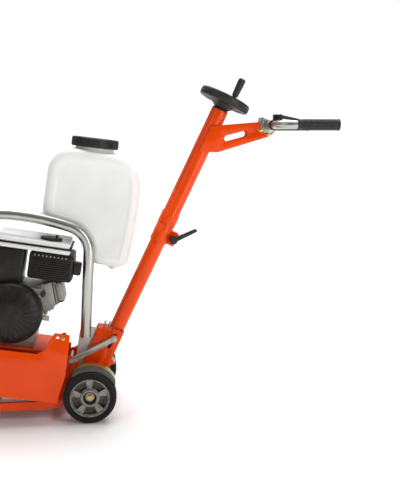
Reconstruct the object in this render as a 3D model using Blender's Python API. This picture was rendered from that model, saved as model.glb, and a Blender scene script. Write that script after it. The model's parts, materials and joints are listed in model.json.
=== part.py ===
"""Walk-behind concrete grinder with a petrol engine, a milling drum, a water tank and a telescopic handle column.

Millimetres are used below and turned into metres when a mesh is made.
+X is the rear, where the operator stands, -Y is the machine's left side and +Z is up.
The undercarriage stands level on four wheels. The chassis hinges on the rear axle and is drawn level,
in its own frame, and then pitched nose up by REST_PITCH.
"""
import math

import bmesh
import bpy
from mathutils import Matrix, Vector

MM = 0.001
GAP = 0.3            # gap kept between pieces that touch or run in each other
OVERLAP = 2.0        # how far a welded shape reaches into the one it is joined to

# Rear wheels and axle
WHEEL_RADIUS = 80.0
WHEEL_WIDTH = 50.0
RIM_RADIUS = 60.0
TRACK = 310.0        # over the wheels' outer faces
AXLE_RADIUS = 10.0
HUB_DEPTH = 31.7     # from the wheel's inner face to the floor of its hub recess

# Undercarriage and front wheels
FRONT_WHEEL_RADIUS = 45.0
FRONT_WHEEL_WIDTH = 35.0
FRONT_AXLE_RADIUS = 8.0
WHEELBASE = 455.0
LUG_INNER = 62.0     # inner face of the plates that carry the rear axle
LUG_THICK = 4.0
SIDE_BAR_INNER = 112.0
SIDE_BAR_THICK = 8.0
CROSSBAR_DEPTH = 20.0
GUARD_RADIUS = WHEEL_RADIUS + 1.4  # inner radius of the wheel guards
STRIP_REACH = 40.0   # how far each guard's rubber strip lies over the tread
GUARD_START = 25.0   # degrees from the rear, over the top
GUARD_END = 127.0

# Handle column: lengths along the column are measured from the rear axle
COLUMN_LENGTH = 949.5
COLUMN_TILT = 25.777          # degrees from upright
LOWER_TUBE_RADIUS = 24.15
LOWER_TUBE_WALL = 3.0
UPPER_TUBE_WALL = 1.55
UPPER_TUBE_RADIUS = LOWER_TUBE_RADIUS + GAP + UPPER_TUBE_WALL
COLUMN_OVERLAP = 297.0        # length of the lower tube inside the upper one
UPPER_TUBE_LENGTH = 447.0
BASE_TOP = 196.2              # top of the folded base channel
BASE_HALF = 31.0
BASE_WALL = 4.0
CLAMP_BELOW_COLLAR = 36.0
CLAMP_REACH = 39.3            # from the column's axis to the clamp stud

# Lift: spindle, nut and links
SPINDLE_RADIUS = 7.9
NUT_REST = 171.3
NUT_TRAVEL = 32.0
LINK_PIN_RADIUS = 5.0
LINK_PLAY = 0.7               # of the link's lower hole round its pin
LINK_INNER = 52.0
LINK_THICK = 8.0
LINK_WIDTH = 15.0
LUG_PIN_X = -72.6             # lower link pin, in the level chassis frame
LUG_PIN_RISE = 76.4           # above the rear axle

# Handwheel
HANDWHEEL_RADIUS = 80.0
HANDWHEEL_LIFT = 4.5          # hub above the column's top
CRANK_RADIUS = 71.0
CRANK_ANGLE = -79.0
CRANK_LENGTH = 58.0

# Handlebar, measured from the column's top
PIVOT_X = 147.1
PIVOT_Z = -44.5
PLATE_INNER = UPPER_TUBE_RADIUS + GAP
PLATE_LAP = 8.0              # how far the plates reach past the column's middle line
PLATE_THICK = 5.0
BAR_RADIUS = 12.5
BAR_WALL = 2.0
BAR_BEND = 45.0
GRIP_SPREAD = 165.0           # from the middle to each grip's axis
GRIP_START = 56.0
GRIP_LENGTH = 125.0
GRIP_WALL = 3.4
GRIP_RADIUS = BAR_RADIUS + GAP + GRIP_WALL

# Chassis, in its level frame
REST_PITCH = 9.5
RAIL_INNER = 44.0
RAIL_THICK = 6.0
SIDE_INNER = 126.0
SIDE_THICK = 6.0
SKIRT_FLARE = 18.0
DECK_Z = 149.0
DECK_THICK = 6.0
DECK_FRONT = -520.0
DECK_REAR = -110.0
BED_HEIGHT = 34.0
BED_HALF = 86.0

# Drum and drive
DRUM_X = -300.0
DRUM_Z = 65.0
DRUM_RADIUS = 62.0
DRUM_WIDTH = 158.0
DRUM_SHAFT_RADIUS = 12.5
END_PLATE_INNER = 84.0
END_PLATE_THICK = 6.0
HOUSING_HALF_LENGTH = 90.0
CRANK_X = -268.0
CRANK_RISE = 106.0            # crankshaft above the engine bed
BELT_INNER = 92.0
BELT_WIDTH = 12.0
BELT_THICK = 8.0
DRIVE_PULLEY_RADIUS = 38.0
DRUM_PULLEY_RADIUS = 44.0
PULLEY_FLANGE = 9.0

# Lifting arch
ARCH_RADIUS = 16.85
ARCH_WALL = 3.0
ARCH_LEG_X = -39.5
ARCH_LEG_Z = 235.2
ARCH_LEG_LEAN = 5.7
ARCH_LEG_LENGTH = 266.0
ARCH_BEND = 80.0
ARCH_CROWN_SLOPE = 11.0
ARCH_MIDDLE = -265.0
ARCH_PLATE_Y = -22.0          # near face of the plate that the arch is welded to
ARCH_PLATE_THICK = 4.0

# Water tank
TANK_NEAR = -20.0
TANK_DEPTH = 170.0
TANK_WALL = 4.0
TANK_ROUND = 14.0
TANK_RIGHT = 66.0
TANK_LEFT = -226.0
TANK_BOTTOM = 461.0
TANK_TOP = 806.0
NECK_X = -95.8
NECK_RADIUS = 60.0
CAP_RADIUS = 73.0
CAP_HEIGHT = 29.3
CAP_RISE = 10.3               # from the tank's top to the cap's lower edge
CAP_TILT = -2.5

ENGINE_HALF = 75.0
BIG = 36
MID = 24
SMALL = 16


# ---------------------------------------------------------------- helpers

def clear_scene():
    for item in list(bpy.data.objects):
        bpy.data.objects.remove(item, do_unlink=True)


def make_material(name, colour, roughness, metallic):
    material = bpy.data.materials.new(name)
    material.use_nodes = True
    shader = material.node_tree.nodes["Principled BSDF"]
    shader.inputs["Base Color"].default_value = (*colour, 1.0)
    shader.inputs["Roughness"].default_value = roughness
    shader.inputs["Metallic"].default_value = metallic
    return material


PALETTE = {
    "orange": ((0.86, 0.13, 0.01), 0.35, 0.0),
    "silver": ((0.72, 0.73, 0.71), 0.25, 1.0),
    "galvanised": ((0.55, 0.56, 0.54), 0.45, 0.9),
    "zinc": ((0.62, 0.61, 0.57), 0.4, 0.9),
    "yellow_zinc": ((0.75, 0.58, 0.16), 0.4, 0.9),
    "black_rubber": ((0.02, 0.02, 0.02), 0.7, 0.0),
    "grey_rubber": ((0.16, 0.16, 0.15), 0.75, 0.0),
    "cast": ((0.45, 0.44, 0.42), 0.5, 0.8),
    "black": ((0.02, 0.02, 0.02), 0.45, 0.0),
    "tank_white": ((0.87, 0.87, 0.84), 0.45, 0.0),
    "steel": ((0.4, 0.4, 0.4), 0.4, 1.0),
}


def paint(item, finish):
    colour, roughness, metallic = PALETTE[finish]
    item.data.materials.append(make_material(item.name, colour, roughness, metallic))


def make_empty(name, parent, location=(0.0, 0.0, 0.0), pitch=0.0):
    """An axis or a frame: location in mm, pitch in degrees about +Y."""
    empty = bpy.data.objects.new(name, None)
    empty.location = Vector(location) * MM
    empty.rotation_euler = (0.0, math.radians(pitch), 0.0)
    empty.parent = parent
    bpy.context.collection.objects.link(empty)
    return empty


def make_object(name, bm, parent, finish=None, smooth=None):
    """A mesh object from a bmesh in mm, with its faces turned outwards."""
    bmesh.ops.remove_doubles(bm, verts=bm.verts, dist=0.001)
    bmesh.ops.recalc_face_normals(bm, faces=bm.faces)
    bmesh.ops.scale(bm, vec=(MM, MM, MM), verts=bm.verts)
    mesh = bpy.data.meshes.new(name)
    bm.to_mesh(mesh)
    bm.free()
    item = bpy.data.objects.new(name, mesh)
    item.parent = parent
    bpy.context.collection.objects.link(item)
    if smooth:
        mesh.shade_smooth()
        mesh.set_sharp_from_angle(angle=math.radians(smooth))
    if finish:
        paint(item, finish)
    return item


def add_prism(bm, outline, y_low, y_high):
    """A plate: an outline in the XZ plane, carried from y_low to y_high."""
    corners = [bm.verts.new((x, y_low, z)) for x, z in outline]
    face = bm.faces.new(corners)
    swept = bmesh.ops.extrude_face_region(bm, geom=[face])
    moved = [v for v in swept["geom"] if isinstance(v, bmesh.types.BMVert)]
    bmesh.ops.translate(bm, vec=(0.0, y_high - y_low, 0.0), verts=moved)


def prism(name, outline, y_low, y_high, parent, finish=None, smooth=None):
    bm = bmesh.new()
    add_prism(bm, outline, y_low, y_high)
    return make_object(name, bm, parent, finish, smooth)


def add_box(bm, low, high):
    outline = [(low[0], low[2]), (high[0], low[2]), (high[0], high[2]), (low[0], high[2])]
    add_prism(bm, outline, low[1], high[1])


def box(name, low, high, parent, finish=None, bevel=0.0):
    bm = bmesh.new()
    add_box(bm, low, high)
    item = make_object(name, bm, parent, finish)
    if bevel:
        soften(item, bevel)
    return item


def soften(item, width, segments=2, angle=40.0):
    modifier = item.modifiers.new("edges", "BEVEL")
    modifier.width = width * MM
    modifier.segments = segments
    modifier.limit_method = "ANGLE"
    modifier.angle_limit = math.radians(angle)
    modifier.use_clamp_overlap = True


AXIS_TURN = {
    "Z": Matrix.Identity(3),
    "Y": Matrix.Rotation(math.radians(-90.0), 3, "X"),
    "X": Matrix.Rotation(math.radians(90.0), 3, "Y"),
}


def lathe_mesh(profile, axis="Z", centre=(0.0, 0.0, 0.0), segments=MID):
    """A turned shape: (radius, height) points, heights along the axis."""
    bm = bmesh.new()
    points = [bm.verts.new((radius, 0.0, height)) for radius, height in profile]
    edges = [bm.edges.new((a, b)) for a, b in zip(points, points[1:])]
    if profile[0][0] > 0.0 or profile[-1][0] > 0.0:
        edges.append(bm.edges.new((points[-1], points[0])))
    bmesh.ops.spin(bm, geom=points + edges, axis=(0, 0, 1), cent=(0, 0, 0), dvec=(0, 0, 0),
                   angle=2.0 * math.pi, steps=segments, use_merge=True, use_duplicate=False)
    bmesh.ops.remove_doubles(bm, verts=bm.verts, dist=0.001)
    bmesh.ops.rotate(bm, cent=(0, 0, 0), matrix=AXIS_TURN[axis], verts=bm.verts)
    bmesh.ops.translate(bm, vec=centre, verts=bm.verts)
    return bm


def lathe(name, profile, parent, finish=None, axis="Z", centre=(0.0, 0.0, 0.0), segments=MID):
    return make_object(name, lathe_mesh(profile, axis, centre, segments), parent, finish, smooth=35.0)


def rod(radius, low, high):
    """The profile of a plain round bar."""
    return [(0.0, low), (radius, low), (radius, high), (0.0, high)]


def ring(inner, outer, low, high):
    """The profile of a plain tube or ring."""
    return [(inner, low), (outer, low), (outer, high), (inner, high)]


def arc(cx, cz, radius, start, end, count):
    """Points on an arc in the XZ plane, angles in degrees from +X towards +Z."""
    step = (end - start) / count
    angles = [math.radians(start + step * i) for i in range(count + 1)]
    return [(cx + radius * math.cos(a), cz + radius * math.sin(a)) for a in angles]


def inset(points, distance):
    """A closed counter-clockwise outline moved inwards by a distance."""
    result = []
    for index, point in enumerate(points):
        before = Vector(point) - Vector(points[index - 1])
        after = Vector(points[(index + 1) % len(points)]) - Vector(point)
        before.normalize()
        after.normalize()
        normal_a = Vector((-before.y, before.x))
        normal_b = Vector((-after.y, after.x))
        shift = (normal_a + normal_b) / (1.0 + normal_a.dot(normal_b)) * distance
        result.append((point[0] + shift.x, point[1] + shift.y))
    return result


def stadium(start, end, radius_a, radius_b, count=6):
    """An outline round two circles, counter-clockwise."""
    direction = math.degrees(math.atan2(end[1] - start[1], end[0] - start[0]))
    gap = math.dist(start, end)
    lean = math.degrees(math.asin((radius_a - radius_b) / gap))
    first = arc(end[0], end[1], radius_b, direction - 90.0 + lean, direction + 90.0 - lean, count)
    second = arc(start[0], start[1], radius_a, direction + 90.0 - lean, direction + 270.0 + lean, count)
    return first + second


def sweep_mesh(path, outer, inner, segments):
    """A hollow tube along a path of points."""
    bm = bmesh.new()
    path = [Vector(point) for point in path]
    tangents = [(path[min(i + 1, len(path) - 1)] - path[max(i - 1, 0)]).normalized() for i in range(len(path))]
    side = tangents[0].orthogonal().normalized()
    loops = []
    for point, tangent in zip(path, tangents):
        side = (side - tangent * side.dot(tangent)).normalized()
        other = tangent.cross(side)
        for radius in (outer, inner):
            loop = []
            for k in range(segments):
                angle = 2.0 * math.pi * k / segments
                loop.append(bm.verts.new(point + (side * math.cos(angle) + other * math.sin(angle)) * radius))
            loops.append(loop)

    def join(first, second):
        for k in range(segments):
            after = (k + 1) % segments
            bm.faces.new((first[k], first[after], second[after], second[k]))

    outside = loops[0::2]
    inside = loops[1::2]
    for loop_set in (outside, inside):
        for first, second in zip(loop_set, loop_set[1:]):
            join(first, second)
    join(outside[0], inside[0])
    join(outside[-1], inside[-1])
    return bm


def combine(target, tool, operation):
    """Cut a tool out of the target, or weld it on."""
    tool.hide_render = True
    tool.display_type = "WIRE"
    modifier = target.modifiers.new(operation.lower(), "BOOLEAN")
    modifier.operation = operation
    modifier.solver = "EXACT"
    modifier.object = tool


def cut(target, tool):
    combine(target, tool, "DIFFERENCE")


def weld(target, tool):
    combine(target, tool, "UNION")


def drill(target, name, radius, centre, length, axis="Y", segments=SMALL):
    """A round hole, length to each side of its centre."""
    cut(target, lathe(name, rod(radius, -length, length), target.parent, axis=axis, centre=centre, segments=segments))


# ---------------------------------------------------------------- undercarriage

def wheel_inner_face():
    return TRACK / 2.0 - WHEEL_WIDTH


def build_rear_wheel(side, label, parent):
    """A cast rim with five pockets, and a solid rubber tyre."""
    axis = make_empty("rear_wheel_axis_" + label, parent, (0.0, 0.0, WHEEL_RADIUS))
    base = wheel_inner_face()
    lip = WHEEL_WIDTH - 1.5
    web_front = WHEEL_WIDTH - 8.0
    bore = AXLE_RADIUS + GAP
    rim_profile = [
        (bore, 0.0), (22.0, 0.0), (22.0, 14.0), (50.0, 20.0), (54.0, 4.0), (RIM_RADIUS, 4.0),
        (RIM_RADIUS, lip), (53.0, lip), (50.0, web_front), (28.0, web_front),
        (27.0, lip), (20.0, lip), (20.0, HUB_DEPTH), (bore, HUB_DEPTH),
    ]
    rim = lathe("rear_rim_" + label, mirrored(rim_profile, side, base), axis, "cast", axis="Y", segments=BIG)
    floor = side * (base + 27.0)
    top = side * (base + WHEEL_WIDTH + 5.0)
    for index in range(5):
        middle = math.radians(54.0 + 72.0 * index)
        wedge = [(30.0, -0.16), (48.0, -0.30), (48.0, 0.30), (30.0, 0.16)]
        outline = [(r * math.cos(middle + a), r * math.sin(middle + a)) for r, a in wedge]
        tool = prism("cutter_pocket_%s_%d" % (label, index), outline, min(floor, top), max(floor, top), axis)
        cut(rim, tool)
    inner = RIM_RADIUS + GAP
    width = WHEEL_WIDTH
    tyre_profile = [
        (inner, 1.0), (WHEEL_RADIUS - 6.0, 0.0), (WHEEL_RADIUS - 1.5, 3.5), (WHEEL_RADIUS, 11.0),
        (WHEEL_RADIUS, width - 11.0), (WHEEL_RADIUS - 1.5, width - 3.5), (WHEEL_RADIUS - 6.0, width),
        (inner, width - 1.0),
    ]
    lathe("rear_tyre_" + label, mirrored(tyre_profile, side, base), axis, "black_rubber", axis="Y", segments=BIG)


def mirrored(profile, side, base):
    """A turned profile set out from a face, on the left (-1) or the right (+1)."""
    return [(radius, side * (base + height)) for radius, height in profile]


def build_axle_bolt(side, label, parent):
    """The screw and washer that keep a rear wheel on its axle."""
    axis = make_empty("axle_bolt_frame_" + label, parent, (0.0, 0.0, WHEEL_RADIUS))
    start = wheel_inner_face() + HUB_DEPTH + 2.0 * GAP
    washer = mirrored([(0.0, start), (14.0, start), (14.0, start + 3.0), (0.0, start + 3.0)], side, 0.0)
    bolt = lathe("axle_bolt_" + label, washer, axis, "yellow_zinc", axis="Y")
    head = mirrored(rod(9.8, start + 1.0, start + 12.0), side, 0.0)
    weld(bolt, lathe("cutter_bolt_head_" + label, head, axis, axis="Y", segments=6))


def build_rear_axle(parent):
    axis = make_empty("rear_axle_frame", parent, (0.0, 0.0, WHEEL_RADIUS))
    half = wheel_inner_face() + HUB_DEPTH + GAP
    lathe("rear_axle", rod(AXLE_RADIUS, -half, half), axis, "steel", axis="Y")


def crossbar_front():
    """The crossbar's front face: the bar just clears the rear wheels."""
    return -(WHEEL_RADIUS + 5.0 + CROSSBAR_DEPTH)


def build_undercarriage(parent):
    """Welded frame: axle plates, crossbar and two side bars with the front axle's holes."""
    side_outer = SIDE_BAR_INNER + SIDE_BAR_THICK
    front = crossbar_front()
    low = WHEEL_RADIUS - 35.0
    high = low + 20.0
    frame = box("undercarriage_frame", (front, -side_outer, low), (front + CROSSBAR_DEPTH, side_outer, high),
                parent, "orange")
    nose = -WHEELBASE
    bar = [(front + CROSSBAR_DEPTH, low), (front + CROSSBAR_DEPTH, high), (nose + 30.0, high)]
    bar += arc(nose, FRONT_WHEEL_RADIUS, 16.0, 60.0, 270.0, 8)
    bar += [(nose + 30.0, low - 6.0), (front - 30.0, low - 6.0)]
    plate = arc(0.0, WHEEL_RADIUS, 20.0, -60.0, GUARD_START, 6)
    plate += arc(0.0, WHEEL_RADIUS, GUARD_RADIUS - GAP, GUARD_START, GUARD_END, 12)
    plate += [(front + OVERLAP, high), (front + OVERLAP, low)]
    for side, label in ((-1.0, "left"), (1.0, "right")):
        inner = side * SIDE_BAR_INNER
        outer = side * side_outer
        weld(frame, prism("cutter_side_bar_" + label, bar, min(inner, outer), max(inner, outer), parent))
        inner = side * LUG_INNER
        outer = side * (LUG_INNER + LUG_THICK)
        weld(frame, prism("cutter_axle_plate_" + label, plate, min(inner, outer), max(inner, outer), parent))
        spacer = mirrored(rod(18.0, LUG_INNER + 1.0, wheel_inner_face() - 1.0), side, 0.0)
        weld(frame, lathe("cutter_spacer_" + label, spacer, parent, axis="Y", centre=(0.0, 0.0, WHEEL_RADIUS)))
    reach = TRACK / 2.0
    drill(frame, "cutter_axle_hole", AXLE_RADIUS + GAP, (0.0, 0.0, WHEEL_RADIUS), reach, segments=MID)
    drill(frame, "cutter_front_axle_hole", FRONT_AXLE_RADIUS + GAP, (nose, 0.0, FRONT_WHEEL_RADIUS), reach)
    lathe("front_axle", rod(FRONT_AXLE_RADIUS, -side_outer - 2.0, side_outer + 2.0), parent, "steel",
          axis="Y", centre=(nose, 0.0, FRONT_WHEEL_RADIUS), segments=SMALL)


def build_front_wheel(side, label, parent):
    axis = make_empty("front_wheel_axis_" + label, parent, (-WHEELBASE, 0.0, FRONT_WHEEL_RADIUS))
    radius = FRONT_WHEEL_RADIUS
    width = FRONT_WHEEL_WIDTH
    base = SIDE_BAR_INNER - 6.0 - width
    profile = [
        (FRONT_AXLE_RADIUS + GAP, 0.0), (16.0, 0.0), (16.0, 5.0), (32.0, 5.0), (34.0, 1.0),
        (radius - 4.0, 0.0), (radius, 4.0), (radius, width - 4.0), (radius - 4.0, width),
        (34.0, width - 1.0), (32.0, width - 5.0), (16.0, width - 5.0), (16.0, width), (FRONT_AXLE_RADIUS + GAP, width),
    ]
    lathe("front_wheel_" + label, mirrored(profile, side, base), axis, "black_rubber", axis="Y", segments=MID)


def build_wheel_guard(side, label, parent):
    """A yellow-plated band beside each rear wheel, with a rubber strip that lies over the tread."""
    centre = (0.0, WHEEL_RADIUS)
    split = wheel_inner_face() - 5.0
    strip_end = wheel_inner_face() + STRIP_REACH
    for name, finish, y_in, y_out, low, high in (
            ("wheel_guard_" + label, "yellow_zinc", LUG_INNER - 1.7, split, GUARD_RADIUS, GUARD_RADIUS + 3.2),
            ("guard_strip_" + label, "grey_rubber", split + GAP, strip_end, GUARD_RADIUS - 0.4, GUARD_RADIUS + 4.7)):
        outline = arc(*centre, high, GUARD_START, GUARD_END, 16)
        outline += arc(*centre, low, GUARD_END, GUARD_START, 16)
        prism(name, outline, min(side * y_in, side * y_out), max(side * y_in, side * y_out), parent, finish, 35.0)


# ---------------------------------------------------------------- column, in a frame on the rear axle

def build_column_base(column):
    """Folded channel round the foot of the column, with a gusset at its front."""
    front = -11.0
    rear = LOWER_TUBE_RADIUS
    half = BASE_HALF
    foot = -24.0
    base = prism("column_base", [(front, foot), (rear, foot), (rear, BASE_TOP), (front, BASE_TOP)],
                 -half, half, column, "orange")
    hollow = [(front - 10.0, foot - 5.0), (rear - BASE_WALL, foot - 5.0),
              (rear - BASE_WALL, BASE_TOP + 5.0), (front - 10.0, BASE_TOP + 5.0)]
    cut(base, prism("cutter_channel", hollow, -half + BASE_WALL, half - BASE_WALL, column))
    gusset_top = [(-58.0, BASE_TOP - 19.5), (-18.8, BASE_TOP - 6.7)]
    gusset = [(-54.0, 54.0), (-5.0, 80.0), (-5.0, BASE_TOP - 6.7)] + gusset_top[::-1]
    for side, label in ((-1.0, "left"), (1.0, "right")):
        inner = side * (half - BASE_WALL - 2.0)
        outer = side * (half - 2.0)
        weld(base, prism("cutter_gusset_" + label, gusset, min(inner, outer), max(inner, outer), column))
    lid = [gusset_top[0], (gusset_top[0][0] + 1.0, gusset_top[0][1] - 4.0),
           (gusset_top[1][0], gusset_top[1][1] - 4.0), gusset_top[1]]
    weld(base, prism("cutter_lid", lid, -half + 2.0, half - 2.0, column))
    slot_low = NUT_REST - NUT_TRAVEL - 4.0
    slot_high = NUT_REST + 6.0
    slot = stadium((0.0, slot_low), (0.0, slot_high), LINK_PIN_RADIUS + GAP, LINK_PIN_RADIUS + GAP)
    cut(base, prism("cutter_slot", slot, -half - 5.0, half + 5.0, column))
    drill(base, "cutter_base_axle", AXLE_RADIUS + GAP, (0.0, 0.0, 0.0), half + 5.0, segments=MID)


def upper_tube_foot():
    return COLUMN_LENGTH - UPPER_TUBE_LENGTH


def build_column_tubes(column):
    inner = LOWER_TUBE_RADIUS - LOWER_TUBE_WALL
    lower_top = upper_tube_foot() + COLUMN_OVERLAP
    lathe("lower_column", ring(inner, LOWER_TUBE_RADIUS, BASE_TOP + GAP, lower_top), column, "orange", segments=BIG)
    foot = upper_tube_foot()
    top = COLUMN_LENGTH
    bore = LOWER_TUBE_RADIUS + GAP
    radius = UPPER_TUBE_RADIUS
    collar_low = foot + 61.0
    collar_high = collar_low + CLAMP_BELOW_COLLAR
    outside = [(0.0, foot), (radius + 1.5, foot), (radius + 1.5, collar_low - 2.0), (radius + 2.5, collar_low),
               (radius + 2.5, collar_high), (radius, collar_high + 4.0), (radius, top), (0.0, top)]
    upper = lathe("upper_column", outside, column, "orange", segments=BIG)
    stud = clamp_height()
    ears = [(bore - 3.0, stud - 22.0)] + arc(CLAMP_REACH, stud, 13.0, -90.0, 90.0, 6) + [(bore - 3.0, stud + 24.0)]
    weld(upper, prism("cutter_ears", ears, -14.0, 14.0, column))
    cut(upper, lathe("cutter_column_bore", rod(bore, foot - 10.0, top + 10.0), column, segments=BIG))
    slit = [(bore - 8.0, foot - 10.0), (CLAMP_REACH + 20.0, foot - 10.0),
            (CLAMP_REACH + 20.0, collar_low - 4.0), (bore - 8.0, collar_low - 4.0)]
    cut(upper, prism("cutter_slit", slit, -1.5, 1.5, column))
    drill(upper, "cutter_stud_hole", 4.0 + GAP, (CLAMP_REACH, 0.0, stud), 30.0)
    flange = 3.7
    plug = [(SPINDLE_RADIUS + GAP + 0.1, top - 20.0), (bore - 2.0 * GAP, top - 20.0), (bore - 2.0 * GAP, top + GAP),
            (radius, top + GAP), (radius, top + GAP + flange), (SPINDLE_RADIUS + GAP + 0.1, top + GAP + flange)]
    lathe("spindle_bearing", plug, column, "black")


def clamp_height():
    """The clamp stud, in the split part of the upper tube."""
    return upper_tube_foot() + 25.0


def build_clamp_lever(column):
    axis = make_empty("clamp_lever_axis", column, (CLAMP_REACH, 0.0, clamp_height()))
    near = -14.0 - GAP
    profile = [(0.0, -41.0), (10.5, -41.0), (12.5, -39.0), (12.5, near), (4.0, near), (4.0, 14.0 + GAP),
               (8.0, 14.0 + GAP), (8.0, 22.0), (0.0, 22.0)]
    lever = lathe("clamp_lever", profile, axis, "black", axis="Y")
    angle = math.radians(23.6 + COLUMN_TILT)
    tip = (74.0 * math.cos(angle), 74.0 * math.sin(angle))
    weld(lever, prism("cutter_lever_arm", stadium((0.0, 0.0), tip, 7.5, 5.0), -40.0, -31.0, axis))


def build_spindle(column):
    top = COLUMN_LENGTH
    wheel_axis = make_empty("handwheel_axis", column, (0.0, 0.0, top))
    bore = SPINDLE_RADIUS + GAP + 0.1
    rim = HANDWHEEL_RADIUS
    low = HANDWHEEL_LIFT
    profile = [
        (bore, low), (19.0, low), (20.5, low + 2.0), (35.0, 29.0), (rim - 20.0, 34.0), (rim - 14.0, 27.0),
        (rim - 10.0, 22.5), (rim - 4.0, 22.0), (rim, 27.0), (rim, 43.0), (rim - 4.0, 48.0), (rim - 10.0, 48.0),
        (rim - 14.0, 46.0), (rim - 20.0, 40.0), (30.0, 40.0), (22.0, 46.0), (bore, 46.0),
    ]
    lathe("handwheel", profile, wheel_axis, "black", segments=BIG)
    angle = math.radians(CRANK_ANGLE)
    spot = (CRANK_RADIUS * math.cos(angle), CRANK_RADIUS * math.sin(angle), 48.0 + GAP)
    knob_axis = make_empty("crank_knob_axis", wheel_axis, spot)
    length = CRANK_LENGTH
    knob = [(0.0, 0.0), (6.0, 0.0), (9.0, 3.0), (9.8, 8.0), (11.2, length - 9.0), (10.4, length - 3.0),
            (7.0, length), (0.0, length)]
    lathe("crank_knob", knob, knob_axis, "black", segments=SMALL)
    tube_foot = upper_tube_foot() + 17.0
    shaft = SPINDLE_RADIUS + 0.1
    sleeve = SPINDLE_RADIUS - 0.6
    upper = [(0.0, 46.0), (shaft, 46.0), (shaft, -25.5), (11.0, -25.5), (11.0, tube_foot - top),
             (sleeve, tube_foot - top), (sleeve, -60.0), (0.0, -60.0)]
    lathe("upper_spindle", upper, wheel_axis, "steel", segments=SMALL)
    spindle_axis = make_empty("lower_spindle_axis", column, (0.0, 0.0, NUT_REST))
    plain = sleeve - GAP
    foot = -NUT_TRAVEL - 27.0
    lower_top = tube_foot + 200.0 - NUT_REST
    lower = [(0.0, lower_top), (plain, lower_top), (plain, 130.0), (SPINDLE_RADIUS, 129.0),
             (SPINDLE_RADIUS, foot + 3.0), (SPINDLE_RADIUS - 3.0, foot), (0.0, foot)]
    lathe("lower_spindle", lower, spindle_axis, "steel", segments=SMALL)


def build_lift_nut(column):
    """Nut on the spindle, with a pin to each side through the slots of the base."""
    axis = make_empty("lift_nut_axis", column, (0.0, 0.0, NUT_REST))
    nut = box("lift_nut", (-15.0, -22.0, -14.0), (15.0, 22.0, 14.0), axis, "zinc")
    head = LINK_INNER + LINK_THICK + GAP
    for side, label in ((-1.0, "left"), (1.0, "right")):
        pin = [(0.0, 20.0), (LINK_PIN_RADIUS, 20.0), (LINK_PIN_RADIUS, head), (8.5, head), (8.5, head + 3.5), (0.0, head + 3.5)]
        weld(nut, lathe("cutter_nut_pin_" + label, mirrored(pin, side, 0.0), axis, axis="Y", segments=SMALL))
    drill(nut, "cutter_nut_bore", SPINDLE_RADIUS + GAP, (0.0, 0.0, 0.0), 30.0, axis="Z")


# ---------------------------------------------------------------- handle head, in a level frame at the column's top

def along_column(distance, across):
    """A point of the head frame, from a distance down the column and one across it, to the rear."""
    tilt = math.radians(COLUMN_TILT)
    x = -distance * math.sin(tilt) + across * math.cos(tilt)
    z = -distance * math.cos(tilt) - across * math.sin(tilt)
    return (x, z)


def build_handle_plates(head):
    """Two flat brackets on the column's sides, with a slot and a round seat for the handlebar clamp."""
    seat = arc(PIVOT_X, PIVOT_Z, 25.8, -38.0, -200.0, 9)
    outline = [along_column(142.5, -PLATE_LAP), (-12.1, -126.9), (PIVOT_X - 18.2, -85.1), (PIVOT_X + 3.4, -78.2),
               (PIVOT_X + 14.0, PIVOT_Z - 26.0), (PIVOT_X + 20.5, PIVOT_Z - 19.0), (PIVOT_X + 21.3, PIVOT_Z - 15.6)]
    outline += seat
    outline += [(PIVOT_X - 30.0, PIVOT_Z + 9.5), along_column(56.3, -PLATE_LAP)]
    slot = stadium((19.6, -85.0), (PIVOT_X - 72.0, PIVOT_Z - 26.0), 10.0, 9.5)
    for side, label in ((-1.0, "left"), (1.0, "right")):
        inner = side * PLATE_INNER
        outer = side * (PLATE_INNER + PLATE_THICK)
        plate = prism("handle_plate_" + label, outline, min(inner, outer), max(inner, outer), head, "orange")
        tool = prism("cutter_handle_slot_" + label, slot, min(inner, outer) - 5.0, max(inner, outer) + 5.0, head)
        cut(plate, tool)


def build_handlebar_clamp(head):
    """Cast clamp between the plates; the handlebar turns in its bore."""
    turn = math.radians(-19.0)
    block = [(-24.8, 0.0), (13.0, 16.5), (-26.0, 16.5)]
    spun = [(x * math.cos(turn) - z * math.sin(turn), x * math.sin(turn) + z * math.cos(turn)) for x, z in block]
    outline = arc(0.0, 0.0, 24.8, -199.0, 22.0, 14) + [spun[1], spun[2]]
    outline = [(PIVOT_X + x, PIVOT_Z + z) for x, z in outline]
    half = PLATE_INNER - GAP
    clamp = prism("handlebar_clamp", outline, -half, half, head, "silver")
    drill(clamp, "cutter_clamp_bore", BAR_RADIUS + GAP, (PIVOT_X, 0.0, PIVOT_Z), 40.0, segments=MID)
    foot = [(-30.0, -8.0), (-33.0, -19.0), (-20.0, -34.0), (2.0, -37.0), (9.0, -20.0), (-8.0, -16.0), (-18.0, -8.0)]
    foot = [(PIVOT_X + x, PIVOT_Z + z) for x, z in foot]
    weld(clamp, prism("cutter_clamp_foot", foot, -half, half, head))


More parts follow.
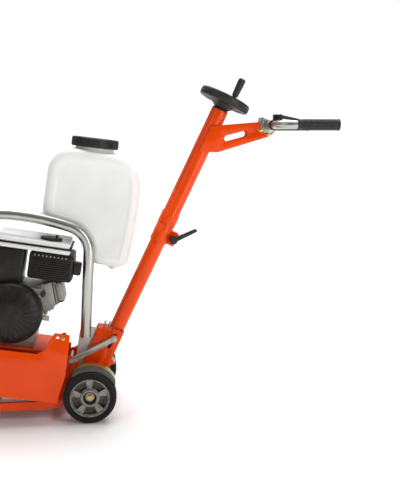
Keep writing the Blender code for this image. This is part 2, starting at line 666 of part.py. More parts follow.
def build_handlebar(head):
    """Bent tube with two grips, the lever block and the dead man's lever, all on the tilt axis."""
    axis = make_empty("handlebar_axis", head, (PIVOT_X, 0.0, PIVOT_Z))
    bend = BAR_BEND
    straight = GRIP_SPREAD - bend
    end = GRIP_START + GRIP_LENGTH - 4.0
    turn = [(bend - bend * math.cos(math.radians(15.0 * i)), straight + bend * math.sin(math.radians(15.0 * i)))
            for i in range(7)]
    half = [Vector((x, y, 0.0)) for x, y in turn] + [Vector((end, GRIP_SPREAD, 0.0))]
    path = [Vector((p.x, -p.y, 0.0)) for p in reversed(half)] + half
    make_object("handlebar", sweep_mesh(path, BAR_RADIUS, BAR_RADIUS - BAR_WALL, SMALL), axis, "silver", 35.0)
    bore = BAR_RADIUS + GAP
    stop = GRIP_START + GRIP_LENGTH
    grip = [(bore, GRIP_START), (GRIP_RADIUS + 1.0, GRIP_START), (GRIP_RADIUS + 1.0, GRIP_START + 4.0),
            (GRIP_RADIUS, GRIP_START + 5.0), (GRIP_RADIUS, stop - 6.0), (GRIP_RADIUS + 1.0, stop - 5.0),
            (GRIP_RADIUS + 1.0, stop), (0.0, stop), (0.0, end + GAP), (bore, end + GAP)]
    for side, label in ((-1.0, "left"), (1.0, "right")):
        lathe("grip_" + label, grip, axis, "black", axis="X", centre=(0.0, side * GRIP_SPREAD, 0.0))
    block_outer = -straight + 2.0
    block = box("lever_block", (-15.0, block_outer, -15.5), (20.0, block_outer + 20.0, 31.0), axis, "black", 1.5)
    drill(block, "cutter_block_bore", bore, (0.0, block_outer, 0.0), 40.0, segments=MID)
    drill(block, "cutter_lever_hole", 3.0 + GAP, (14.0, block_outer, 24.0), 10.0)
    lever_axis = make_empty("dead_man_lever_axis", axis, (14.0, 0.0, 24.0))
    near = block_outer - GAP
    hub = [(0.0, near - 12.0), (7.0, near - 12.0), (7.0, near), (3.0, near), (3.0, near + 8.0), (0.0, near + 8.0)]
    lever = lathe("dead_man_lever", hub, lever_axis, "black", axis="Y", segments=SMALL)
    arm = stadium((0.0, 0.0), (70.0, -11.5), 5.5, 2.2, 4)
    weld(lever, prism("cutter_dead_man_arm", arm, near - 11.0, near - 1.0, lever_axis))


# ---------------------------------------------------------------- chassis, in its level frame

def build_links(level):
    """Two flat links from the nut to the chassis lug, on an axis at the nut."""
    tilt = math.radians(COLUMN_TILT)
    pitch = math.radians(REST_PITCH)
    nut = (NUT_REST * math.sin(tilt), WHEEL_RADIUS + NUT_REST * math.cos(tilt))
    lug_x = LUG_PIN_X * math.cos(pitch) + LUG_PIN_RISE * math.sin(pitch)
    lug_z = WHEEL_RADIUS - LUG_PIN_X * math.sin(pitch) + LUG_PIN_RISE * math.cos(pitch)
    axis = make_empty("lift_link_axis", level, (nut[0], 0.0, nut[1]))
    lower = (lug_x - nut[0], lug_z - nut[1])
    length = math.hypot(*lower)
    way = (lower[0] / length, lower[1] / length)
    for side, label in ((-1.0, "left"), (1.0, "right")):
        inner = side * LINK_INNER
        outer = side * (LINK_INNER + LINK_THICK)
        low, high = min(inner, outer), max(inner, outer)
        direction = math.degrees(math.atan2(way[1], way[0]))
        half = LINK_WIDTH / 2.0
        lean = math.degrees(math.asin(half / 10.0))
        outline = arc(lower[0], lower[1], 8.6, direction - 90.0, direction + 90.0, 6)
        outline += [(16.0 * way[0] - half * way[1], 16.0 * way[1] + half * way[0])]
        outline += arc(0.0, 0.0, 10.0, direction + lean, direction + 360.0 - lean, 10)
        outline += [(16.0 * way[0] + half * way[1], 16.0 * way[1] - half * way[0])]
        link = prism("lift_link_" + label, outline, low, high, axis, "zinc", 35.0)
        drill(link, "cutter_link_top_" + label, LINK_PIN_RADIUS + GAP, (0.0, side * LINK_INNER, 0.0), 20.0)
        drill(link, "cutter_link_foot_" + label, LINK_PIN_RADIUS + LINK_PLAY, (lower[0], side * LINK_INNER, lower[1]), 20.0)


def build_rails(level):
    """Two plates and a crossplate: they hinge on the rear axle and carry the drum housing and the link lug."""
    axle = (0.0, WHEEL_RADIUS)
    lug = (LUG_PIN_X, WHEEL_RADIUS + LUG_PIN_RISE)
    back_wall = DRUM_X + HOUSING_HALF_LENGTH + 5.0 + GAP
    top = DECK_Z - GAP
    outline = arc(*axle, 22.0, -110.0, 40.0, 8) + arc(*lug, 14.0, 40.0, 190.0, 8)
    outline += [(LUG_PIN_X - 20.0, top), (back_wall, top), (back_wall, 90.0), (-110.0, 80.0)]
    rails = box("chassis_rails", (-66.0, -RAIL_INNER - 1.0, 92.0), (-60.0, RAIL_INNER + 1.0, DECK_Z - 3.0), level, "orange")
    for side, label in ((-1.0, "left"), (1.0, "right")):
        inner = side * RAIL_INNER
        outer = side * (RAIL_INNER + RAIL_THICK)
        weld(rails, prism("cutter_rail_" + label, outline, min(inner, outer), max(inner, outer), level))
    drill(rails, "cutter_rail_axle", AXLE_RADIUS + GAP, (0.0, 0.0, WHEEL_RADIUS), 70.0, segments=MID)
    drill(rails, "cutter_rail_pin", LINK_PIN_RADIUS + GAP, (lug[0], 0.0, lug[1]), 70.0)
    head = LINK_INNER + LINK_THICK + GAP
    pin = [(0.0, -head - 3.5), (7.5, -head - 3.5), (7.5, -head), (LINK_PIN_RADIUS, -head),
           (LINK_PIN_RADIUS, head), (7.5, head), (7.5, head + 3.5), (0.0, head + 3.5)]
    lathe("lift_pin", pin, level, "zinc", axis="Y", centre=(lug[0], 0.0, lug[1]), segments=SMALL)


def build_side_plates(level):
    """Side plates folded outwards below the fold line; the left one has an ear at its rear."""
    fold = 135.0
    rear = -82.0
    nose = DECK_FRONT
    ear = 261.0
    eared = [(nose, fold), (rear, fold), (rear - 3.0, ear - 4.0), (rear - 7.0, ear), (-131.0, ear), (-141.0, ear - 22.0),
             (-152.0, 205.0), (-175.0, 190.0), (nose + 50.0, 190.0), (nose + 15.0, 170.0), (nose, 150.0)]
    plain = [(nose, fold), (rear, fold), (rear, 156.0), (rear - 4.0, 160.0), (nose + 8.0, 160.0), (nose, 150.0)]
    lower = [(nose, fold), (nose + 15.0, 52.0), (rear - 13.5, 52.0), (rear, fold)]
    for side, label, upper in ((-1.0, "left", eared), (1.0, "right", plain)):
        bm = bmesh.new()
        verts = {}
        for x, z in upper + lower:
            if (x, z) not in verts:
                flare = SKIRT_FLARE * max(0.0, fold - z) / (fold - 52.0)
                verts[(x, z)] = bm.verts.new((x, side * (SIDE_INNER + flare), z))
        faces = [bm.faces.new([verts[p] for p in upper]), bm.faces.new([verts[p] for p in lower])]
        swept = bmesh.ops.extrude_face_region(bm, geom=faces)
        moved = [v for v in swept["geom"] if isinstance(v, bmesh.types.BMVert)]
        bmesh.ops.translate(bm, vec=(0.0, side * SIDE_THICK, 0.0), verts=moved)
        plate = make_object("side_plate_" + label, bm, level, "orange")
        if side < 0.0:
            drill(plate, "cutter_ear_hole", 4.0, (-120.0, side * SIDE_INNER, 248.0), 20.0)


def build_drum_housing(level):
    """Deck with the open-bottomed drum housing under it, and a dust port at its front."""
    deck_top = DECK_Z + DECK_THICK
    half = SIDE_INNER - GAP
    housing = box("drum_housing", (DECK_FRONT, -half, DECK_Z), (DECK_REAR, half, deck_top), level, "orange")
    wall = 5.0
    front = DRUM_X - HOUSING_HALF_LENGTH - wall
    back = DRUM_X + HOUSING_HALF_LENGTH + wall
    outer = END_PLATE_INNER + END_PLATE_THICK
    foot = DRUM_Z - 20.0
    skirt = box("cutter_housing_outside", (front, -outer, foot), (back, outer, DECK_Z + OVERLAP), level)
    weld(housing, skirt)
    port = (front, 0.0, 112.0)
    weld(housing, lathe("cutter_port", rod(30.0, -40.0, 3.0), level, axis="X", centre=port))
    cut(housing, box("cutter_housing_inside", (front + wall, -END_PLATE_INNER, foot - 10.0),
                     (back - wall, END_PLATE_INNER, DECK_Z + 1.0), level))
    cut(housing, lathe("cutter_port_bore", rod(26.0, -50.0, 10.0), level, axis="X", centre=port))
    drill(housing, "cutter_bearing_hole", DRUM_SHAFT_RADIUS + GAP, (DRUM_X, 0.0, DRUM_Z), 120.0, segments=MID)
    slot_low = (DRUM_X - 58.0, BELT_INNER - 1.0, DECK_Z - 5.0)
    slot_high = (CRANK_X + 55.0, BELT_INNER + BELT_WIDTH + 7.0, deck_top + 5.0)
    cut(housing, box("cutter_belt_slot", slot_low, slot_high, level))


def bed_top():
    return DECK_Z + DECK_THICK + BED_HEIGHT


def build_engine_bed(level):
    low = DECK_Z + DECK_THICK + GAP
    top = bed_top()
    front, rear = -456.0, -144.0
    wall = 6.0
    outline = [(front, low), (front + wall, low), (front + wall, top - wall), (rear - wall, top - wall),
               (rear - wall, low), (rear, low), (rear, top), (front, top)]
    prism("engine_bed", outline, -BED_HALF, BED_HALF, level, "orange")


def build_drum(level):
    """Milling drum on its shaft, with the driven pulley at the right-hand end."""
    axis = make_empty("drum_axis", level, (DRUM_X, 0.0, DRUM_Z))
    half = DRUM_WIDTH / 2.0
    bore = DRUM_SHAFT_RADIUS + GAP
    rings = 7
    pitch = DRUM_WIDTH / rings
    profile = [(bore, -half)]
    for index in range(rings):
        start = -half + index * pitch
        profile += [(DRUM_RADIUS - 10.0, start), (DRUM_RADIUS, start + 0.2 * pitch),
                    (DRUM_RADIUS, start + 0.7 * pitch), (DRUM_RADIUS - 10.0, start + 0.9 * pitch)]
    profile += [(DRUM_RADIUS - 10.0, half), (bore, half)]
    lathe("drum", profile, axis, "steel", axis="Y", segments=20)
    outer = END_PLATE_INNER + END_PLATE_THICK
    end = BELT_INNER + BELT_WIDTH + 5.0
    lathe("drum_shaft", rod(DRUM_SHAFT_RADIUS, -outer - 3.0, end), axis, "steel", axis="Y", segments=SMALL)
    lathe("drum_pulley", pulley_profile(DRUM_PULLEY_RADIUS, bore), axis, "cast", axis="Y")


def pulley_profile(radius, bore):
    flange = radius + PULLEY_FLANGE
    low = BELT_INNER
    groove_low = low + 1.7
    groove_high = groove_low + BELT_WIDTH + 2.0 * GAP
    high = groove_high + 1.7
    return [(bore, low), (flange, low), (flange, groove_low - 0.2), (radius, groove_low), (radius, groove_high),
            (flange, groove_high + 0.2), (flange, high), (bore, high)]


def crank_centre():
    return (CRANK_X, bed_top() + CRANK_RISE)


def build_drive(level):
    """Crankshaft stub with its pulley, and the belt down to the drum."""
    centre = crank_centre()
    axis = make_empty("crankshaft_axis", level, (centre[0], 0.0, centre[1]))
    shaft = 9.5
    groove = pulley_profile(DRIVE_PULLEY_RADIUS, shaft)
    start = ENGINE_HALF + 2.0 * GAP
    profile = [(0.0, start), (shaft, start)] + groove[:-1] + [(shaft, groove[-1][1]), (shaft, groove[-1][1] + 2.0),
                                                            (0.0, groove[-1][1] + 2.0)]
    lathe("drive_pulley", profile, axis, "cast", axis="Y")
    drum = (DRUM_X, DRUM_Z)
    low = BELT_INNER + 1.7 + GAP
    inner = stadium(drum, centre, DRUM_PULLEY_RADIUS + GAP, DRIVE_PULLEY_RADIUS + GAP, 18)
    thick = BELT_THICK + GAP
    outer = stadium(drum, centre, DRUM_PULLEY_RADIUS + thick, DRIVE_PULLEY_RADIUS + thick, 18)
    belt = prism("drive_belt", outer, low, low + BELT_WIDTH, level, "black_rubber", 35.0)
    cut(belt, prism("cutter_belt_inside", inner, low - 5.0, low + BELT_WIDTH + 5.0, level))


# ---------------------------------------------------------------- engine, in the level chassis frame

def build_engine(level):
    bed = bed_top() + GAP
    crank = crank_centre()
    half = ENGINE_HALF
    top = bed + 186.0
    block = box("engine_block", (crank[0] - 77.0, -half, bed), (crank[0] + 78.0, half, top), level, "cast")
    barrel = [(crank[0] + 58.0, bed + 70.0), (-141.5, bed + 136.4), (-165.3, bed + 207.7), (crank[0] + 50.0, bed + 185.0)]
    weld(block, prism("cutter_barrel", barrel, -55.0, 55.0, level))
    cover = [(-141.0, bed + 136.5), (-122.0, bed + 134.0), (-117.0, bed + 143.0), (-119.5, bed + 203.0),
             (-126.0, bed + 209.5), (-165.0, bed + 208.3)]
    shift = [(x + GAP, z) for x, z in cover]
    rocker = prism("rocker_cover", shift, -50.0, 50.0, level, "cast")
    soften(rocker, 4.0)
    guard_low = bed + 214.8
    guard = box("muffler_guard", (-240.0, -78.0, guard_low), (-105.0, 70.0, guard_low + 83.0), level, "black")
    soften(guard, 9.0)
    outlet = box("cutter_outlet", (-106.5, -70.0, guard_low + 26.0), (-81.0, -30.0, guard_low + 64.0), level)
    soften(outlet, 6.0)
    weld(guard, outlet)
    low = guard_low + 86.0
    seam = low + 14.0
    high = low + 33.0
    tank = [(-338.0, low), (-128.0, low), (-120.0, low + 6.0), (-120.0, seam), (-116.0, seam), (-116.0, seam + 5.0),
            (-120.0, seam + 5.0), (-122.0, high - 6.0), (-130.0, high), (-335.0, high), (-343.0, high - 6.0),
            (-345.0, seam + 5.0), (-349.0, seam + 5.0), (-349.0, seam), (-345.0, seam), (-345.0, low + 6.0)]
    prism("fuel_tank", tank, -85.0, 95.0, level, "tank_white")
    cap_axis = make_empty("fuel_cap_axis", level, (-183.0, -35.0, high + GAP))
    cap = lathe("fuel_cap", [(0.0, 0.0), (33.0, 0.0), (33.0, 5.0), (31.0, 7.0), (0.0, 7.0)], cap_axis, "black")
    weld(cap, lathe("cutter_cap_knob", rod(5.0, 3.0, 16.0), cap_axis, centre=(15.0, 0.0, 0.0), segments=12))
    cleaner_top = low - 3.0
    box("air_cleaner", (-352.0, -half, top + GAP), (-252.0, 20.0, cleaner_top), level, "black", 8.0)
    face = -half - GAP
    recoil = [(0.0, face - 52.0), (38.0, face - 52.0), (60.0, face - 48.0), (86.0, face - 36.0), (94.0, face - 24.0),
              (94.0, face), (90.5, face), (90.5, face - 22.0), (84.0, face - 32.0), (0.0, face - 44.0)]
    lathe("recoil_cover", recoil, level, "black", axis="Y", centre=(crank[0], 0.0, crank[1]), segments=BIG)
    pull = math.radians(40.0)
    handle_axis = make_empty("starter_handle_axis", level, (crank[0] + 106.0 * math.cos(pull), face - 22.0,
                                                           crank[1] + 106.0 * math.sin(pull)), -40.0)
    handle = box("starter_handle", (0.0, -18.0, -7.0), (13.0, 18.0, 7.0), handle_axis, "black")
    soften(handle, 3.0)


# ---------------------------------------------------------------- arch and water tank, in the level chassis frame

def arch_half():
    """The arch's middle line from the rear foot to its top."""
    lean = math.radians(ARCH_LEG_LEAN)
    start = Vector((ARCH_LEG_X, ARCH_LEG_Z))
    knee = start + Vector((-math.sin(lean), math.cos(lean))) * ARCH_LEG_LENGTH
    heading = 90.0 + ARCH_LEG_LEAN
    turn = 90.0 - ARCH_LEG_LEAN - ARCH_CROWN_SLOPE
    centre = knee + Vector((math.cos(math.radians(heading + 90.0)), math.sin(math.radians(heading + 90.0)))) * ARCH_BEND
    bend = arc(centre.x, centre.y, ARCH_BEND, heading - 90.0, heading - 90.0 + turn, 8)
    reach = bend[-1][0] - ARCH_MIDDLE
    crown = reach / math.sin(math.radians(ARCH_CROWN_SLOPE))
    top_centre = (ARCH_MIDDLE, bend[-1][1] - crown * math.cos(math.radians(ARCH_CROWN_SLOPE)))
    over = arc(*top_centre, crown, 90.0 - ARCH_CROWN_SLOPE, 90.0, 5)
    return [tuple(start)] + bend + over[1:]


def build_arch(level):
    rear = arch_half()
    lean = math.tan(math.radians(ARCH_LEG_LEAN))
    foot_z = DECK_Z + DECK_THICK + 2.4
    mirrored_half = [(2.0 * ARCH_MIDDLE - x, z) for x, z in reversed(rear[:-1])]
    mirrored_half[-1] = (mirrored_half[-1][0] - (ARCH_LEG_Z - foot_z) * lean, foot_z)
    line = rear + mirrored_half
    y = ARCH_PLATE_Y - GAP - ARCH_RADIUS
    path = [(x, y, z) for x, z in line]
    tube = sweep_mesh(path, ARCH_RADIUS, ARCH_RADIUS - ARCH_WALL, MID)
    make_object("lifting_arch", tube, level, "silver", 35.0)
    top = ARCH_LEG_Z + 29.0
    outline = [(-59.7, 100.0), (-34.0, 100.0), (-24.0, 140.0), (-14.0, 200.0), (-8.0, top), (-54.0, top), (-59.7, top - 14.0)]
    prism("arch_plate", outline, ARCH_PLATE_Y, ARCH_PLATE_Y + ARCH_PLATE_THICK, level, "galvanised")


def offset_line(points, distance):
    """An open line moved to its right-hand side by a distance."""
    result = []
    for index, point in enumerate(points):
        before = Vector(points[max(index - 1, 0)])
        after = Vector(points[min(index + 1, len(points) - 1)])
        way = (after - before).normalized()
        result.append((point[0] + way.y * distance, point[1] - way.x * distance))
    return result


def tank_outline():
    """The tank seen from the left, counter-clockwise: its lower front corner makes room for the arch."""
    line = arch_half()
    lean = math.tan(math.radians(ARCH_LEG_LEAN))
    leg_x = line[0][0] - (TANK_BOTTOM - line[0][1]) * lean
    kept = [(leg_x, TANK_BOTTOM)] + [p for p in line[1:] if p[0] > TANK_LEFT + 3.0]
    top_z = next(p for p in line if p[0] <= TANK_LEFT + 3.0)[1]
    path = kept + [(TANK_LEFT, top_z)]
    notch = offset_line(path, 1.0)[::-1]
    right = TANK_RIGHT
    top = TANK_TOP
    low = TANK_BOTTOM
    shell = [(right - 26.0, low), (right - 10.0, low + 8.0), (right - 3.0, low + 28.0), (right, low + 70.0),
             (right, low + 130.0), (right - 3.0, top - 110.0), (right - 11.0, top - 68.0), (right - 25.0, top - 40.0),
             (right - 50.0, top - 18.0), (right - 80.0, top - 6.0), (NECK_X + NECK_RADIUS, top),
             (NECK_X - NECK_RADIUS, top), (TANK_LEFT + 34.0, top - 18.0), (TANK_LEFT + 14.0, top - 38.0),
             (TANK_LEFT + 3.0, top - 66.0), (TANK_LEFT, top - 90.0)]
    return notch + shell


def moulded_mesh(outline, near, far, radius):
    """A solid between two Y planes, its outline rounded off towards both."""
    layers = []
    for step in range(4):
        angle = math.radians(30.0 * step)
        layers.append((radius * (1.0 - math.sin(angle)), radius * (1.0 - math.cos(angle))))
    sections = [(near + depth, shrink) for shrink, depth in layers]
    sections += [(far - depth, shrink) for shrink, depth in reversed(layers)]
    bm = bmesh.new()
    loops = []
    for y, shrink in sections:
        loops.append([bm.verts.new((x, y, z)) for x, z in inset(outline, shrink)])
    count = len(outline)
    for first, second in zip(loops, loops[1:]):
        for k in range(count):
            after = (k + 1) % count
            bm.faces.new((first[k], first[after], second[after], second[k]))
    bm.faces.new(loops[0])
    bm.faces.new(loops[-1])
    return bm


def build_tank(level):
    outline = tank_outline()
    near = TANK_NEAR
    far = TANK_NEAR + TANK_DEPTH
    tank = make_object("water_tank", moulded_mesh(outline, near, far, TANK_ROUND), level, "tank_white", 35.0)
    middle = (near + far) / 2.0
    neck = make_empty("tank_cap_axis", level, (NECK_X, middle, TANK_TOP + CAP_RISE), CAP_TILT)
    weld(tank, lathe("cutter_neck", rod(NECK_RADIUS, -CAP_RISE - 6.0, CAP_HEIGHT - 9.0), neck))
    weld(tank, lathe("cutter_outlet_boss", rod(20.0, -20.0, OVERLAP), level, centre=(13.0, middle, TANK_BOTTOM)))
    wall = TANK_WALL
    inside = moulded_mesh(inset(outline, wall), near + wall, far - wall, TANK_ROUND - wall)
    cut(tank, make_object("cutter_tank_inside", inside, level))
    cut(tank, lathe("cutter_neck_bore", rod(NECK_RADIUS - 5.0, -CAP_RISE - 12.0, CAP_HEIGHT + 5.0), neck))
    inner = NECK_RADIUS + 2.0 * GAP
    cap = [(inner, 0.0), (CAP_RADIUS - 1.0, 0.0), (CAP_RADIUS, 1.5), (CAP_RADIUS, CAP_HEIGHT - 3.0),
           (CAP_RADIUS - 3.0, CAP_HEIGHT), (0.0, CAP_HEIGHT), (0.0, CAP_HEIGHT - 7.0), (inner, CAP_HEIGHT - 7.0)]
    lathe("tank_cap", cap, neck, "black", segments=BIG)


def build_tank_shelf(level):
    """A curved shelf on the far side of the arch, which carries the tank."""
    line = [p for p in arch_half() if TANK_LEFT - 25.0 < p[0] < -100.0]
    top = offset_line(line, 0.4)
    under = offset_line(line, -4.6)
    near = ARCH_PLATE_Y + GAP
    prism("tank_shelf", top + under[::-1], near, TANK_NEAR + TANK_DEPTH - 20.0, level, "galvanised")


# ---------------------------------------------------------------- the whole machine

def pitched(x, z):
    """A point of the level chassis frame, in the frame of the machine as it stands."""
    pitch = math.radians(REST_PITCH)
    rise = z - WHEEL_RADIUS
    return (x * math.cos(pitch) + rise * math.sin(pitch), WHEEL_RADIUS - x * math.sin(pitch) + rise * math.cos(pitch))


def middle_of_length():
    """Half way between the rear end of the grips and the front edge of the side plates."""
    tilt = math.radians(COLUMN_TILT)
    rear = COLUMN_LENGTH * math.sin(tilt) + PIVOT_X + GRIP_START + GRIP_LENGTH
    front = min(pitched(DECK_FRONT, 135.0)[0], pitched(DECK_FRONT, 149.0)[0])
    return (front + rear) / 2.0


def build_machine():
    clear_scene()
    ground = make_empty("ground", None, (-middle_of_length(), 0.0, 0.0))
    build_rear_axle(ground)
    build_undercarriage(ground)
    column = make_empty("column_frame", ground, (0.0, 0.0, WHEEL_RADIUS), COLUMN_TILT)
    build_column_base(column)
    build_column_tubes(column)
    build_clamp_lever(column)
    build_spindle(column)
    build_lift_nut(column)
    tilt = math.radians(COLUMN_TILT)
    top = (COLUMN_LENGTH * math.sin(tilt), 0.0, WHEEL_RADIUS + COLUMN_LENGTH * math.cos(tilt))
    head = make_empty("handle_head", ground, top)
    build_handle_plates(head)
    build_handlebar_clamp(head)
    build_handlebar(head)
    build_links(ground)
    hinge = make_empty("chassis_hinge", ground, (0.0, 0.0, WHEEL_RADIUS), REST_PITCH)
    level = make_empty("chassis_level", hinge, (0.0, 0.0, -WHEEL_RADIUS))
    build_rails(level)
    build_side_plates(level)
    build_drum_housing(level)
    build_engine_bed(level)
    build_drum(level)
    build_drive(level)
    build_engine(level)
    build_arch(level)
    build_tank(level)
    build_tank_shelf(level)
    for side, label in ((-1.0, "left"), (1.0, "right")):
        build_rear_wheel(side, label, ground)
        build_axle_bolt(side, label, ground)
        build_front_wheel(side, label, ground)
        build_wheel_guard(side, label, ground)


build_machine()
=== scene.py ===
# %% [markdown]
# # A walk-behind concrete grinder
# The machine has a tilting chassis with a petrol engine and a water tank, and a long orange column with a
# handwheel and a folding handlebar. The solid model arrives as a fixed frame of simple shapes in metres.
# This lesson dresses that frame: it keeps each simple shape that is already right, eases its edges, and
# models the rest again in finer detail, always in the same place and on the same moving body.

# %% The frame and the helpers' imports
import json
import math

import bmesh
import bpy
from mathutils import Matrix, Vector


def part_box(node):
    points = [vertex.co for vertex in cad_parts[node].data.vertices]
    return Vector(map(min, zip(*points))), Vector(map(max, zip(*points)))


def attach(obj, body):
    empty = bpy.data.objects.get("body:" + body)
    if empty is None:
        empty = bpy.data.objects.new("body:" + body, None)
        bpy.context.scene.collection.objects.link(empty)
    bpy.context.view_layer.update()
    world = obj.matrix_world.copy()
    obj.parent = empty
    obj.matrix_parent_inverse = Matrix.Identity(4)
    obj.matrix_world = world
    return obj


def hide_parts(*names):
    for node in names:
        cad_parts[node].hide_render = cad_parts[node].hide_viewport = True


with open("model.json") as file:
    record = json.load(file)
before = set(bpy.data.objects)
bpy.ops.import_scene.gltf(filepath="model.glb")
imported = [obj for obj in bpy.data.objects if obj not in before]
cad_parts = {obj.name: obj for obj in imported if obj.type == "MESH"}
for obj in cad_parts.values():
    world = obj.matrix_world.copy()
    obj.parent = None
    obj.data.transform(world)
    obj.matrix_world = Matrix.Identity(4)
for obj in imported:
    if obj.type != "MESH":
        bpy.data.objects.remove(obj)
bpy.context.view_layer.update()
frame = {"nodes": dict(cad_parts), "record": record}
body_of_node = {}
for body_name, members in frame["record"]["behaviour"]["bodies"].items():
    for member in members:
        body_of_node[member] = body_name

# %% [markdown]
# ## Where things are
# Every part is drawn in a handy frame of its own, in millimetres, and is then put into the machine.
# `GROUND` sits on the floor under the rear axle. `COLUMN` runs up the sloping column. `HEAD` stands level
# at the column's top. `CHASSIS` is the chassis as it was drawn level, before the nose was raised.

# %% Frames of the machine
AXLE_HEIGHT = 80.0
COLUMN_LENGTH = 949.5
COLUMN_TILT = math.radians(25.777)
NOSE_PITCH = math.radians(9.5)
low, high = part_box("rear_tyre_left")
axle_x = (low.x + high.x) / 2.0
MM = Matrix.Scale(0.001, 4)
GROUND = Matrix.Translation((axle_x, 0.0, 0.0)) @ MM
AXLE = GROUND @ Matrix.Translation((0.0, 0.0, AXLE_HEIGHT))
COLUMN = AXLE @ Matrix.Rotation(COLUMN_TILT, 4, "Y")
TOP = COLUMN @ Matrix.Translation((0.0, 0.0, COLUMN_LENGTH))
HEAD = Matrix.Translation(TOP.translation) @ MM
CHASSIS = AXLE @ Matrix.Rotation(NOSE_PITCH, 4, "Y") @ Matrix.Translation((0.0, 0.0, -AXLE_HEIGHT))
print("rear axle at x =", round(axle_x, 4), "column top at", [round(v, 3) for v in TOP.translation])

# %% [markdown]
# ## Helpers for finishes
# Each finish is a Principled shader whose colour, roughness and bump come from noise on Object coordinates.
# The pieces all sit at the origin, so the pattern is in real metres: a noise scale of 100 has grains of
# about a centimetre.

# %% Finish helper
PATCH_LOW, PATCH_HIGH = 0.35, 0.7
RELIEF_DEPTH = 0.0006


def finish(name, colour, other, roughness, metallic=0.0, patch=18.0, grain=600.0, bump=0.15, spread=0.08,
           stretch=(1.0, 1.0, 1.0), coat=0.0, sheen=0.0, subsurface=0.0, specular=0.5):
    """A shader that drifts between two colours in patches and has a fine grained surface."""
    material = bpy.data.materials.new(name)
    material.use_nodes = True
    nodes = material.node_tree.nodes
    link = material.node_tree.links.new
    shader = nodes["Principled BSDF"]
    shader.inputs["Metallic"].default_value = metallic
    shader.inputs["Specular IOR Level"].default_value = specular
    shader.inputs["Coat Weight"].default_value = coat
    shader.inputs["Coat Roughness"].default_value = 0.06
    shader.inputs["Sheen Weight"].default_value = sheen
    if subsurface:
        shader.inputs["Subsurface Weight"].default_value = subsurface
        shader.inputs["Subsurface Radius"].default_value = (0.03, 0.03, 0.026)
        shader.inputs["Subsurface Scale"].default_value = 1.0
    place = nodes.new("ShaderNodeTexCoord")
    mapping = nodes.new("ShaderNodeMapping")
    mapping.inputs["Scale"].default_value = stretch
    link(place.outputs["Object"], mapping.inputs["Vector"])
    cloud = nodes.new("ShaderNodeTexNoise")
    cloud.inputs["Scale"].default_value = patch
    cloud.inputs["Detail"].default_value = 5.0
    link(mapping.outputs["Vector"], cloud.inputs["Vector"])
    mix = nodes.new("ShaderNodeMix")
    mix.data_type = "RGBA"
    mix.inputs["A"].default_value = (*colour, 1.0)
    mix.inputs["B"].default_value = (*other, 1.0)
    ramp = nodes.new("ShaderNodeMapRange")
    ramp.inputs["From Min"].default_value = PATCH_LOW
    ramp.inputs["From Max"].default_value = PATCH_HIGH
    link(cloud.outputs["Fac"], ramp.inputs["Value"])
    link(ramp.outputs["Result"], mix.inputs["Factor"])
    link(mix.outputs["Result"], shader.inputs["Base Color"])
    fine = nodes.new("ShaderNodeTexNoise")
    fine.inputs["Scale"].default_value = grain
    fine.inputs["Detail"].default_value = 3.0
    link(mapping.outputs["Vector"], fine.inputs["Vector"])
    rough = nodes.new("ShaderNodeMapRange")
    rough.inputs["To Min"].default_value = max(0.02, roughness - spread)
    rough.inputs["To Max"].default_value = roughness + spread
    link(fine.outputs["Fac"], rough.inputs["Value"])
    link(rough.outputs["Result"], shader.inputs["Roughness"])
    relief = nodes.new("ShaderNodeBump")
    relief.inputs["Strength"].default_value = bump
    relief.inputs["Distance"].default_value = RELIEF_DEPTH
    link(fine.outputs["Fac"], relief.inputs["Height"])
    link(relief.outputs["Normal"], shader.inputs["Normal"])
    return material


ORANGE = finish("orange paint", (0.84, 0.070, 0.001), (0.74, 0.056, 0.001), 0.30, patch=7.0, grain=420.0,
                bump=0.04, spread=0.05, coat=0.34, specular=0.06)
SILVER = finish("bright zinc tube", (0.46, 0.47, 0.43), (0.41, 0.42, 0.385), 0.30, 1.0, 14.0, 500.0, 0.03,
                0.05, stretch=(3.0, 3.0, 0.6))
GALVANISED = finish("galvanised sheet", (0.62, 0.61, 0.57), (0.50, 0.50, 0.47), 0.50, 0.30, 90.0, 700.0, 0.2)
PLATED = finish("plated steel", (0.46, 0.44, 0.40), (0.36, 0.34, 0.31), 0.42, 0.85, 60.0, 500.0, 0.15)
YELLOW_ZINC = finish("yellow zinc", (0.62, 0.42, 0.09), (0.40, 0.42, 0.17), 0.34, 0.85, 55.0, 500.0, 0.15)
CASTING = finish("grey casting", (0.34, 0.325, 0.30), (0.25, 0.24, 0.22), 0.50, 0.55, 45.0, 900.0, 0.45)
RIM = finish("wheel casting", (0.32, 0.30, 0.265), (0.15, 0.14, 0.125), 0.46, 0.75, 110.0, 900.0, 0.5)
# Darker casting for the pocket faces: partly dirt, partly painted shade of the deep pockets.
RIM_DIRT_AND_SHADE = finish("dirty casting with painted shade in the pockets", (0.15, 0.135, 0.11), (0.075, 0.066, 0.054), 0.6, 0.6, 110.0,
                 900.0, 0.5)
CLAMP = finish("machined clamp", (0.48, 0.49, 0.47), (0.42, 0.43, 0.41), 0.34, 0.9, 60.0, 500.0, 0.05)
TYRE = finish("solid rubber tyre", (0.010, 0.008, 0.008), (0.017, 0.014, 0.0135), 0.58, 0.0, 40.0, 800.0, 0.3,
              specular=0.16)
STRIP = finish("grey rubber strip", (0.085, 0.086, 0.077), (0.055, 0.055, 0.051), 0.62, 0.0, 60.0, 700.0, 0.3,
               specular=0.22)
PLASTIC = finish("black plastic", (0.030, 0.028, 0.026), (0.020, 0.019, 0.018), 0.40, 0.0, 50.0, 1400.0, 0.3,
                 specular=0.22)
GRIP = finish("grip rubber", (0.026, 0.025, 0.023), (0.016, 0.016, 0.015), 0.50, 0.0, 50.0, 1600.0, 0.4,
              sheen=0.1, specular=0.22)
SHROUD = finish("engine black", (0.014, 0.010, 0.010), (0.024, 0.018, 0.018), 0.36, 0.0, 40.0, 900.0, 0.35,
                specular=0.22)
